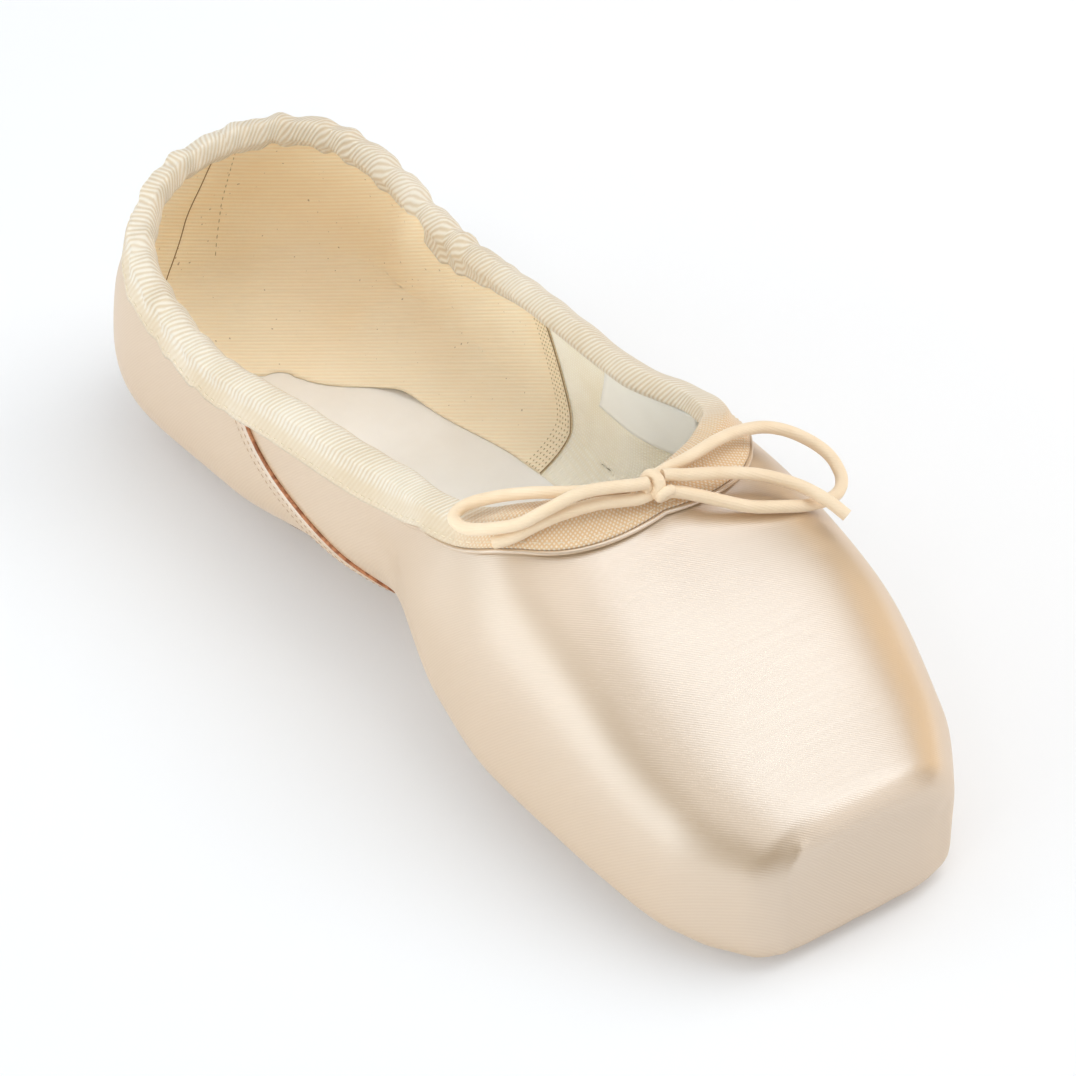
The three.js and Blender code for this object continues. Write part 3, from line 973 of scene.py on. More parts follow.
@dataclass(frozen=True)
class TwillTape(Finish):
    """Binding tape with steep slanting ribs, a little glossy."""

    light: Colour = srgb(233, 223, 206)
    deep: Colour = srgb(210, 188, 155)
    # The tan of the throat's crossed weave is partly the tape's own colour and partly painted shade.
    tan: Colour = srgb(218, 182, 137)
    lattice_scale: Place = (1.6, 1.6, 1.0)
    casing: Span = (0.035, 0.06)
    casing_ribs: float = 0.25
    rib_pitch: float = 0.0098
    rib_tint: float = 0.5
    cloud_tint: float = 0.6
    slant: float = math.radians(32)
    throat: Span = (-0.022, -0.04)

    def make(self, tree: Tree) -> Material:
        """Wires the nodes.

        Args:
            tree: the nodes of a new material.

        Returns:
            The wired material.
        """
        slant = tree.where(Where.LENGTHS, turn=(0, 0, self.slant))
        cloud = tree.noise(tree.where(Where.OBJECT), scale=60.0, detail=3.0)
        yarn = tree.noise(tree.where(Where.OBJECT), scale=1900.0, detail=1.0)
        below = tree.ramp(tree.part(tree.where(Where.LENGTHS), "Y"), *self.casing)
        below = tree.scaled(below, 1 - self.casing_ribs, self.casing_ribs)
        ribs = tree.math("MULTIPLY", tree.ribs(slant, self.rib_pitch, wander=0.5), below)
        shade = tree.scaled(ribs, self.rib_tint, tree.math("MULTIPLY", cloud, self.cloud_tint))
        woven = tree.blend(tree.ramp(shade, low=0.1, high=0.9), self.deep, self.light)
        along = tree.part(tree.where(Where.OBJECT), "Y")
        crossed = (
            tree.where(Where.LENGTHS, (0, 0, turn), self.lattice_scale) for turn in (self.slant, -self.slant)
        )
        warp, weft = (tree.ribs(at, self.rib_pitch, wander=0.5) for at in crossed)
        # At the throat the tape turns to a crossed weave of a different piece; its tan is partly its own
        # colour and partly painted shade.
        lattice = tree.blend(tree.math("MULTIPLY", warp, weft), self.tan, self.light)
        colour = tree.blend(tree.ramp(along, *self.throat), woven, lattice)
        normal = tree.bump(ribs, depth=0.11, below=tree.bump(yarn, depth=0.05))
        return tree.finish(Base_Color=colour, Roughness=0.6, Normal=normal, Sheen_Weight=0.3,
                           Sheen_Roughness=0.4, Specular_IOR_Level=0.35)


@dataclass(frozen=True)
class CoveredElastic(Finish):
    """Drawstring: elastic under a close smooth cover."""

    light: Colour = srgb(246, 225, 195)
    deep: Colour = srgb(226, 196, 156)
    cover_pitch: float = 0.0005
    cloud_tint: float = 0.8

    def make(self, tree: Tree) -> Material:
        """Wires the nodes.

        Args:
            tree: the nodes of a new material.

        Returns:
            The wired material.
        """
        at = tree.where(Where.OBJECT)
        cover = tree.ribs(at, self.cover_pitch, "DIAGONAL", wander=1.5)
        cloud = tree.noise(at, scale=150.0, detail=3.0)
        colour = tree.blend(tree.math("MULTIPLY", cloud, self.cloud_tint), self.light, self.deep)
        normal = tree.bump(cover, depth=0.03, below=tree.bump(cloud, depth=0.05))
        return tree.finish(Base_Color=colour, Roughness=0.62, Normal=normal, Sheen_Weight=0.3)


@dataclass(frozen=True)
class SockLeather(Finish):
    """The pale smooth sock."""

    light: Colour = srgb(250, 247, 243)
    deep: Colour = srgb(240, 235, 228)

    def make(self, tree: Tree) -> Material:
        """Wires the nodes.

        Args:
            tree: the nodes of a new material.

        Returns:
            The wired material.
        """
        at = tree.where(Where.OBJECT)
        cloud, grain = tree.noise(at, scale=35.0, detail=4.0), tree.noise(at, scale=900.0)
        colour = tree.blend(tree.ramp(cloud, low=0.3, high=0.75), self.light, self.deep)
        normal = tree.bump(grain, depth=0.05, below=tree.bump(cloud, depth=0.3))
        return tree.finish(Base_Color=colour, Roughness=0.72, Normal=normal, Specular_IOR_Level=0.35)


@dataclass(frozen=True)
class SoleLeather(Finish):
    """Tan sole leather with scuffs, darker along its edge."""

    light: Colour = srgb(208, 180, 142)
    deep: Colour = srgb(172, 138, 98)
    edge: Colour = srgb(112, 78, 48)
    edge_tint: float = 0.85
    scuff_tint: float = 0.3

    def make(self, tree: Tree) -> Material:
        """Wires the nodes.

        Args:
            tree: the nodes of a new material.

        Returns:
            The wired material.
        """
        at = tree.where(Where.OBJECT)
        cloud, grain = tree.noise(at, scale=28.0, detail=6.0), tree.noise(at, scale=700.0, detail=3.0)
        scuff = tree.noise(tree.where(Where.OBJECT, scale=(180, 30, 30)), scale=1.0, detail=3.0)
        scuff = tree.math("MULTIPLY", tree.ramp(scuff, low=0.55, high=0.75), self.scuff_tint)
        hide = tree.blend(tree.ramp(cloud, low=0.3, high=0.7), self.light, self.deep)
        wear_and_painted_light = tree.blend(scuff, hide, self.deep)
        rim = tree.add("ShaderNodeAttribute", attribute_name="rim").outputs["Fac"]
        colour = tree.blend(tree.math("MULTIPLY", rim, self.edge_tint), wear_and_painted_light, self.edge)
        normal = tree.bump(grain, depth=0.06, below=tree.bump(cloud, depth=0.2))
        return tree.finish(Base_Color=colour, Roughness=0.68, Normal=normal, Specular_IOR_Level=0.35)


@dataclass(frozen=True)
class Thread(Finish):
    """Sewing thread."""

    colour: Colour = srgb(238, 222, 194)
    dark_share: float = 0.72
    ply_pitch: float = 0.0004
    cloud_tint: float = 0.6

    def make(self, tree: Tree) -> Material:
        """Wires the nodes.

        Args:
            tree: the nodes of a new material.

        Returns:
            The wired material.
        """
        at = tree.where(Where.OBJECT)
        ply = tree.ribs(at, self.ply_pitch, "DIAGONAL", wander=0.5)
        cloud = tree.noise(at, scale=300.0, detail=1.0)
        dark = tuple(self.dark_share * v for v in self.colour[:3]) + (1.0,)
        shade = tree.blend(tree.math("MULTIPLY", cloud, self.cloud_tint), self.colour, dark)
        return tree.finish(Base_Color=shade, Roughness=0.7, Normal=tree.bump(ply, depth=0.03))


@dataclass(frozen=True)
class RawEdge(Finish):
    """The cut edge of satin and lining at a seam, browned by glue."""

    light: Colour = srgb(190, 128, 88)
    deep: Colour = srgb(142, 84, 50)

    def make(self, tree: Tree) -> Material:
        """Wires the nodes.

        Args:
            tree: the nodes of a new material.

        Returns:
            The wired material.
        """
        at = tree.where(Where.OBJECT)
        fray = tree.noise(at, scale=900.0, detail=3.0)
        colour = tree.blend(tree.ramp(fray, low=0.35, high=0.65), self.light, self.deep)
        return tree.finish(Base_Color=colour, Roughness=0.85, Normal=tree.bump(fray, depth=0.1))


@dataclass(frozen=True)
class LabelCloth(Finish):
    """A blank woven label."""

    light: Colour = srgb(252, 250, 244)
    deep: Colour = srgb(240, 236, 226)
    pitch: float = 0.0004
    cloud_tint: float = 0.8

    def make(self, tree: Tree) -> Material:
        """Wires the nodes.

        Args:
            tree: the nodes of a new material.

        Returns:
            The wired material.
        """
        at = tree.where(Where.OBJECT)
        weft, warp = (tree.ribs(at, self.pitch, heading, wander=0.3) for heading in "ZY")
        cloud = tree.noise(at, scale=90.0, detail=3.0)
        colour = tree.blend(tree.math("MULTIPLY", cloud, self.cloud_tint), self.light, self.deep)
        normal = tree.bump(tree.math("MULTIPLY", weft, warp), depth=0.03)
        return tree.finish(Base_Color=colour, Roughness=0.6, Normal=normal, Sheen_Weight=0.2)


@dataclass(frozen=True)
class StudioFloor(Finish):
    """A plain white sweep."""

    colour: Colour = (0.74, 0.74, 0.745, 1.0)
    deep: Colour = (0.7, 0.7, 0.7, 1.0)
    glow: float = 0.16
    cloud_tint: float = 0.05

    def make(self, tree: Tree) -> Material:
        """Wires the nodes.

        Args:
            tree: the nodes of a new material.

        Returns:
            The wired material.
        """
        cloud = tree.noise(tree.where(Where.OBJECT), scale=3.0)
        shade = tree.blend(tree.math("MULTIPLY", cloud, self.cloud_tint), self.colour, self.deep)
        return tree.finish(Base_Color=shade, Roughness=0.9, Specular_IOR_Level=0.1,
                           Emission_Color=(1.0, 1.0, 1.0, 1.0), Emission_Strength=self.glow)


SATIN, TWILL, CANVAS = Satin("heavy_satin"), Twill("lining_twill"), Canvas("lining_canvas")
TAPE, ELASTIC = TwillTape("twill_tape"), CoveredElastic("covered_elastic")
SOCK, SOLE = SockLeather("sock_leather"), SoleLeather("sole_hide")
SEAM_THREAD = Thread("seam_thread", srgb(196, 166, 136))
LINING_THREAD = Thread("lining_thread", srgb(166, 138, 98))
DOT_THREAD = Thread("dot_thread", srgb(204, 182, 140))
TAPE_THREAD = Thread("tape_thread", srgb(246, 231, 203))
RAW_EDGE, LABEL, FLOOR = RawEdge("raw_edge"), LabelCloth("label_cloth"), StudioFloor("studio_floor")


@dataclass
class PhotoCamera:
    """The camera: the photograph's own place, turned to the one shoe."""

    position: Place = (-0.5329, -0.7718, 0.7686)
    aim: Place = (0.0039, -0.003, 0.02)
    upright: Place = (0.3672, 0.4838, 0.7944)
    lens: float = 203.0
    sensor: float = 36.0

    def build(self) -> None:
        """Makes the scene's camera."""
        data = bpy.data.cameras.new("photo_camera")
        data.lens, data.sensor_width = self.lens, self.sensor
        camera = bpy.data.objects.new("photo_camera", data)
        back = (Vector(self.position) - Vector(self.aim)).normalized()
        right = Vector(self.upright).cross(back).normalized()
        turn = Matrix((right, back.cross(right), back)).transposed()
        camera.matrix_world = Matrix.Translation(self.position) @ turn.to_4x4()
        bpy.context.scene.collection.objects.link(camera)
        bpy.context.scene.camera = camera


def cord_line(route: Sequence[Place], count: int, fineness: int = 60) -> np.ndarray:
    """Evenly spaced places on the centripetal curve through a cord's route.

    Args:
        route: the places it runs through.
        count: how many places are asked for.
        fineness: steps between two places of the route before they are spaced out.

    Returns:
        The cord's middle line.
    """
    knots = np.array(route, dtype=float)
    knots = np.vstack([2 * knots[0] - knots[1], knots, 2 * knots[-1] - knots[-2]])
    span = np.sqrt(np.linalg.norm(np.diff(knots, axis=0), axis=1))
    t = np.linspace(0, 1, fineness)[:, None]
    runs = []
    for i in range(1, len(knots) - 2):
        before, here, there, after = knots[i - 1:i + 3]
        a, b, c = span[i - 1:i + 2]
        leave = ((here - before) / a - (there - before) / (a + b) + (there - here) / b) * b
        arrive = ((there - here) / b - (after - here) / (b + c) + (after - there) / c) * b
        rise = t * t * (3 - 2 * t)
        runs.append(here + (there - here) * rise + leave * t * (1 - t) ** 2 + arrive * t * t * (t - 1))
    line = np.vstack(runs)
    length = run_of(line)
    return along(line, length, np.linspace(0, length[-1], count))


def round_cord(name: str, line: np.ndarray, diameter: float, closed: bool = False) -> Piece:
    """A round cord as one curve through places.

    Args:
        name: the piece's name.
        line: its places.
        diameter: its thickness in millimetres.
        closed: whether its ends meet.

    Returns:
        The curve object.
    """
    bpy.ops.object.select_all(action="DESELECT")
    bpy.ops.curve.primitive_bezier_curve_add()
    piece = rename(bpy.context.active_object, name)
    curve, spline = piece.data, piece.data.splines[0]
    spline.bezier_points.add(len(line) - 2)
    for point, place in zip(spline.bezier_points, in_shoe(line)):
        point.co = place
        point.handle_left_type = point.handle_right_type = "AUTO"
    spline.use_cyclic_u = closed
    curve.dimensions, curve.use_fill_caps = "3D", True
    curve.resolution_u = curve.render_resolution_u = CORD_STEPS
    curve.bevel_depth, curve.bevel_resolution = diameter / 2 * MM, CORD_SIDES
    return piece


@dataclass
class Drawstring:
    """The elastic drawstring's bow: a knot, two loops and two ends."""

    diameter: float = 2.5
    knot: Place = (-1.1, 163.2, 64.2)
    wrap: Place = (0.5, 1.75, 1.75)
    wrap_twist: float = 0.6
    bead: Place = (1.3, 0.8, 1.2)
    bead_at: Place = (1.1, 2.6, -1.2)
    bead_thinner: float = 0.8
    core: Span = (-2.3, 2.2)
    points: int = 32
    ring_points: int = 18
    core_points: int = 6
    loop_left: tuple[Place, ...] = (
        (-2.6, 163.5, 65.4), (-4.4, 163.4, 65.8), (-10.2, 161.8, 66.8), (-15.4, 160.2, 67),
        (-22.6, 158.4, 65), (-26.8, 156.4, 62.8), (-30.6, 152.6, 61), (-33.2, 147.4, 59),
        (-33, 143.2, 58.8), (-30, 142.4, 59.6), (-25.6, 145.6, 61.6), (-20.6, 150.8, 63.6),
        (-16.4, 154.4, 64), (-10.6, 158.2, 64), (-4.8, 161, 64),
    )
    end_left: tuple[Place, ...] = (
        (-2.2, 163.6, 62.4), (-4.6, 163.6, 62.6), (-12.2, 160.9, 63.3), (-19.4, 158.6, 62.6),
        (-23.6, 157, 61.2), (-27.8, 155.2, 59.2), (-30.8, 153, 57.8),
    )
    loop_right: tuple[Place, ...] = (
        (0.6, 161.5, 64.2), (2.4, 161.3, 64.4), (5.6, 161.6, 64.8), (10.2, 161.4, 65), (16, 160, 64.4),
        (23.4, 158, 62.2), (30.6, 157.8, 59.6), (36, 160, 56.6), (39.2, 165, 53.8), (38.9, 169.4, 51.9),
        (37.2, 172, 50.8), (34.4, 173, 50.4), (29.6, 173, 50.9), (22, 173.4, 54.2), (15, 171.8, 56.6),
        (8.8, 169, 59.6), (4.6, 166.6, 61.4), (2.2, 165.6, 62.4), (0.9, 165.2, 62.8),
    )
    end_right: tuple[Place, ...] = (
        (0.9, 163.7, 65.6), (2.4, 164.1, 65.4), (5, 164.9, 64.6), (10.6, 165.9, 62.9), (17.3, 167.2, 60.6),
        (22.9, 168.8, 58), (27.8, 172.2, 55.4), (30.6, 176.6, 53.4), (32.4, 180, 51.2),
    )

    def run(self, name: str, route: Sequence[Place], node: str, end: CordEnd) -> None:
        """Args:
            name: the piece's name.
            route: where its middle runs, from the knot.
            node: the solid it stands for.
            end: what its far end is; not used.
        """
        line = cord_line(route, self.points)
        piece = settle(round_cord(name, line, self.diameter), ELASTIC, [node])

    def tie_knot(self) -> None:
        """Ties the knot: a wrap round the cords with a smaller bead below it."""
        turn = np.linspace(0, 2 * math.pi, self.ring_points, endpoint=False)
        wrap = np.stack([np.sin(turn + self.wrap_twist), np.cos(turn), np.sin(turn)], axis=-1) * self.wrap
        bead = np.stack([np.cos(turn), np.sin(turn), np.sin(turn)], axis=-1) * self.bead
        core = np.linspace(*self.core, self.core_points)[:, None] * np.array([1.0, 0.0, 0.0])
        thin = self.bead_thinner * self.diameter
        tubes = [
            round_cord("knot_wrap", wrap + self.knot, self.diameter, True),
            round_cord("knot_bead", bead + np.add(self.knot, self.bead_at), thin, True),
            round_cord("knot_core", core + self.knot, self.diameter),
        ]
        for tube in tubes:
            select_only(tube)
            bpy.ops.object.convert(target="MESH")
        for tube in tubes:
            tube.select_set(True)
        bpy.context.view_layer.objects.active = tubes[0]
        bpy.ops.object.join()
        knot = rename(bpy.context.active_object, "drawstring_knot")
        settle(knot, ELASTIC, ["bow_knot"])

    def build(self) -> None:
        """Runs all four cords and ties the knot."""
        for name, route, end in (
            ("loop_left", self.loop_left, CordEnd.INTO_KNOT), ("end_left", self.end_left, CordEnd.BARE),
            ("loop_right", self.loop_right, CordEnd.INTO_KNOT), ("end_right", self.end_right, CordEnd.BARE),
        ):
            self.run(f"drawstring_{name}", route, f"bow_{name}", end)
        self.tie_knot()


WALL_FOLDS = (
    SoftFold((-34, 148, 44), (-33, 120, 24), 8.0, 0.9),
    SoftFold((-31, 116, 40), (-31, 108, 10), 7.0, -1.0),
    SoftFold((-32, 60, 30), (-20, 6, 36), 6.0, 0.5),
    SoftFold((-26, 14, 14), (-32, 62, 16), 5.0, -0.5),
    SoftFold((34, 148, 44), (33, 120, 24), 8.0, 0.9),
    SoftFold((31, 116, 40), (31, 108, 10), 7.0, -1.0),
    SoftFold((32, 58, 28), (20, 6, 34), 6.0, 0.5),
)


@dataclass
class SatinUpper:
    """The satin outside of the upper, with its toe box, platform and pleats underneath."""

    last: Last
    fans: Fans = Fans(36, 60, 110)
    rows: int = 100
    thickness: float = 0.8
    pleats: int = 30
    pleat_height: float = 0.7
    pleat_centre: float = 186.0
    pleat_wander: Place = (0.5, 5.0, 1.0)
    pleat_middle: float = 0.6
    pleats_below: Span = (2.5, 6.0)
    pleats_out: Span = (17.0, 25.0)
    pleats_from: Span = (168.0, 190.0)
    pleats_fade: Span = (216.0, 224.0)
    pleats_left: float = 0.15
    platform_from: float = 215.0
    back_seam_depth: float = 0.45
    back_seam_width: float = 0.9
    folds: tuple[SoftFold, ...] = WALL_FOLDS
    toe_folds: tuple[SoftFold, ...] = (
        SoftFold((20, 230, 0), (19, 230, 24), 4.5, -1.5),
        SoftFold((23, 228, 3), (34, 210, 5), 10.0, -1.9),
        SoftFold((-18, 229, 1), (-36, 195, 3), 6.0, 0.9),
    )
    platform_edge: SoftEdge = SoftEdge(
        ((-18.0, 229.0, 2.0), (-18.4, 229.5, 13.0), (-17.4, 229.0, 22.0), (-14.0, 228.5, 27.0)), 1.0, 0.4,
    )

    def relief(self, net: np.ndarray) -> np.ndarray:
        """How far folds, pleats and the back seam lift the satin, in millimetres.

        Args:
            net: columns of places.

        Returns:
            The lift at each place.
        """
        x, s, z = net[..., 0], net[..., 1], net[..., 2]
        lift = total_lift(self.folds, net)
        toe = s > self.platform_from
        lift[toe] += self.platform_edge.lift(net[toe])
        lift = lift + total_lift(self.toe_folds, net)
        turn = np.arctan2(x, s - self.pleat_centre)
        from_sole = np.hypot(x, s - self.pleat_centre)
        under = (1 - smoothstep(z, *self.pleats_below)) * smoothstep(from_sole, *self.pleats_out)
        under = under * smoothstep(s, *self.pleats_from)
        under = under * (1 - (1 - self.pleats_left) * smoothstep(s, *self.pleats_fade))
        sway, often, shift = self.pleat_wander
        wave = np.abs(np.sin(turn * self.pleats / 2 + sway * np.sin(often * turn + shift)))
        lift = lift + self.pleat_height * under * (wave - self.pleat_middle)
        back = np.exp(-((x / self.back_seam_width) ** 2)) * (s < self.last.heel_pivot)
        return lift - self.back_seam_depth * back

    def build(self) -> None:
        """Lays the satin over the last and gives it its thickness."""
        lines = self.last.profiles(self.fans, np.zeros_like)
        net = whole_ring(np.stack([resample(line, self.rows) for line in lines]))
        net = net + faces_out(net) * self.relief(net)[..., None]
        net = self.last.lean(net)
        piece = lay_cloth("satin_upper", net)
        thicken(piece, self.thickness)
        settle(piece, SATIN, ["upper"])


@dataclass
class Lining:
    """The lining: twill quarters that lap over a plain canvas in the toe box."""

    last: Last
    fans: Fans = Fans(30, 60, 60)
    rows: int = 64
    thickness: float = 0.4
    lap: float = 0.35
    seam_top: Span = (84.0, 47.0)
    seam_foot: Span = (98.0, 12.0)
    lap_width: float = 8.0
    face: np.ndarray = field(init=False)
    leaves_wall_at: float = 20.0
    hem_height: float = 2.5
    hem_past_sole: float = 0.8
    hem_lift: float = 1.2
    hem_lift_at: float = 51.0
    hem_lift_width: float = 5.0
    hem_at_heel: float = 4.0
    knee_share: float = 0.3
    knee_height: float = 2.0
    knee_points: int = 30
    side_heading: float = 0.99
    rays: int = 240
    hem_far: Knots = ((30, 4.5), (35, 7), (40, 11), (44, 14.5), (50, 17.2), (57, 18.4), (65, 18.8),
                      (105, 20))
    hem_near: Knots = ((30, 10), (38, 14), (50, 18), (105, 20))
    folds: tuple[SoftFold, ...] = (
        SoftFold((32, 44, 54), (22, 27, 2), 5.5, 3.2),
        SoftFold((-8, 2, 23.5), (26, 14, 20), 3.0, 0.9),
        SoftFold((30, 60, 36), (29, 66, 12), 6.0, 0.6),
        SoftFold((31, 118, 30), (31, 140, 22), 4.0, 0.7),
    )

    def loosen(
        self, line: np.ndarray, station: tuple[np.ndarray, np.ndarray], hem_line: SmoothCurve,
        hem_height: float,
    ) -> np.ndarray:
        """Lets a lining hang off the wall at its foot, with its hem lying on the sock.

        Args:
            line: the wall's profile from the sole's rim up.
            station: where its plane starts on the spine, and its heading.
            hem_line: how far out from the spine the hem lies at each s.
            hem_height: how far the hem lies over the wall's inside.

        Returns:
            The profile of the loose cloth.
        """
        origin, heading = station
        wall = line[line[:, 2] > self.leaves_wall_at]
        to_wall = (wall[0] - origin) @ heading
        to_hem = float(self.last.reach(origin[None], heading[None], self.hem_past_sole)[0])
        if heading[1] <= 0:
            to_side = float(smoothstep(heading[0], 0, 1))
            further = (float(hem_line(origin[1])) - self.hem_at_heel) * to_side
            to_hem = min(to_hem, self.hem_at_heel + further)
        hem = origin + heading * to_hem
        hem[2] = self.last.underside(hem[None], self.last.wall)[0] + hem_height
        from_lift = (origin[1] - self.hem_lift_at) / self.hem_lift_width
        hem[2] += self.hem_lift * math.exp(-(from_lift**2)) * (heading[0] > self.side_heading)
        knee = origin + heading * ((1 - self.knee_share) * to_wall + self.knee_share * to_hem)
        knee[2] = hem[2] + self.knee_height
        t = np.linspace(0, 1, self.knee_points)[:-1, None]
        return np.vstack([hem * (1 - t) ** 2 + 2 * knee * t * (1 - t) + wall[0] * t * t, wall])

    def net(self, inset: float) -> np.ndarray:
        """The inside of the upper from the collar down.

        Args:
            inset: how far it lies inside the wall.

        Returns:
            Columns of places.
        """
        lines = self.last.profiles(self.fans, lambda s: self.last.wall(s) - inset, self.rays)
        stations = list(zip(*self.last.stations(self.fans)))
        hems = (SmoothCurve(self.hem_far), SmoothCurve(self.hem_near))
        height = self.hem_height - inset
        sides = [[self.loosen(*pair, hem, height) for pair in zip(lines, stations)] for hem in hems]
        net = whole_ring(*(np.stack([resample(line, self.rows) for line in side]) for side in sides))
        lift = total_lift(WALL_FOLDS, net) - total_lift(self.folds, net)
        return self.last.lean(net + faces_out(net) * lift[..., None])[:, ::-1]

    def seam(self, side: Side, heelward: float) -> tuple[np.ndarray, np.ndarray]:
        """A line beside a side seam on the lining's face, and the directions off it.

        Args:
            side: which side of the shoe.
            heelward: how far towards the heel from the seam.

        Returns:
            The line's places and directions.
        """
        middle = self.face.shape[0] // 2
        part = slice(middle, None) if side is Side.FAR else slice(middle + 1)
        face, up = self.face[part], faces_out(self.face)[part]
        (s, z), (foot_s, foot_z) = self.seam_top, self.seam_foot
        measure = face[..., 1] - s - (face[..., 2] - z) * (foot_s - s) / (foot_z - z) + heelward
        rows = [row for row in range(face.shape[1]) if face[:, row, 2].min() < self.seam_top[1]]
        meets = [int(np.argmax(measure[:-1, row] * measure[1:, row] <= 0)) for row in rows]
        line, off = (
            np.array([crossing(net[:, row], measure[:, row], at) for row, at in zip(rows, meets)])
            for net in (face, up)
        )
        below = line[:, 2] < self.seam_top[1]
        return line[below], off[below]

    def spot(self, columns: np.ndarray, shares: np.ndarray) -> tuple[np.ndarray, np.ndarray]:
        """Places on the lining's face between its columns and rows, and the directions off it.

        Args:
            columns: columns, counted from the heel's centre.
            shares: shares of the way from the collar to the hem.

        Returns:
            The places and directions.
        """
        rows = shares * (self.face.shape[1] - 1)
        i, j = np.floor(columns).astype(int), np.floor(rows).astype(int)
        u, v = (columns - i)[:, None], (rows - j)[:, None]
        line, up = (
            (net[i, j] * (1 - u) + net[i + 1, j] * u) * (1 - v)
            + (net[i, j + 1] * (1 - u) + net[i + 1, j + 1] * u) * v
            for net in (self.face, faces_out(self.face))
        )
        return line, up

    def cut(self, piece: Piece, shift: float, keep_heel: bool) -> None:
        """Cuts a lining along its side seams, which lie in one slanting plane.

        Args:
            piece: the lining.
            shift: how far towards the toe the cut lies.
            keep_heel: whether the heel's side of the cut stays.
        """
        (s, z), (foot_s, foot_z) = self.seam_top, self.seam_foot
        point = in_shoe(np.array([0.0, s + shift, z]))
        slope = Vector((0.0, -(foot_s - s), foot_z - z)).normalized()
        heelward = Vector((1.0, 0.0, 0.0)).cross(slope)
        select_only(piece)
        bpy.ops.object.mode_set(mode="EDIT")
        bpy.ops.mesh.select_all(action="SELECT")
        bpy.ops.mesh.bisect(
            plane_co=tuple(point), plane_no=tuple(heelward),
            clear_inner=keep_heel, clear_outer=not keep_heel,
        )
        bpy.ops.object.mode_set(mode="OBJECT")

    def build(self) -> None:
        """Lays both linings."""
        for name, inset, shift, heel, finish in (
            ("lining_quarters", 0.0, 0.0, True, TWILL),
            ("lining_vamp", self.lap, -self.lap_width, False, CANVAS),
        ):
            net = self.net(inset)
            self.face = net if heel else self.face
            piece = lay_cloth(name, net)
            self.cut(piece, shift, heel)
            thicken(piece, self.thickness)
            settle(piece, finish, ["upper"])


def beside(
    line: np.ndarray, heading: np.ndarray, depth: float, away: float, span: float = 1.5
) -> tuple[np.ndarray, np.ndarray]:
    """A place beside a station's wall.

    Args:
        line: the wall's profile, up to its rim.
        heading: the station's heading.
        depth: how far below the rim.
        away: how far off the wall's face.
        span: over how much of the profile its direction is taken.

    Returns:
        The place, and the wall's direction upwards there.
    """
    run = run_of(line)
    at = run[-1] - depth
    rise = along(line, run, min(at + span, run[-1])) - along(line, run, min(at, run[-1] - span) - span)
    rise = rise / np.linalg.norm(rise)
    sideways = heading * rise[2]
    sideways[2] = -(rise @ heading)
    return along(line, run, at) + sideways * away, rise


@dataclass(frozen=True)
class Ripple:
    """A wave along a tape, with a pitch that wanders."""

    height: float
    pitch: float
    shift: float = 0.0
    sway: float = 0.0
    sway_length: float = 1.0

    def at(self, run: np.ndarray) -> np.ndarray:
        """Its height at some lengths along the tape."""
        wander = self.shift + self.sway * np.sin(run / self.sway_length)
        return self.height * np.sin(2 * math.pi * run / self.pitch + wander)


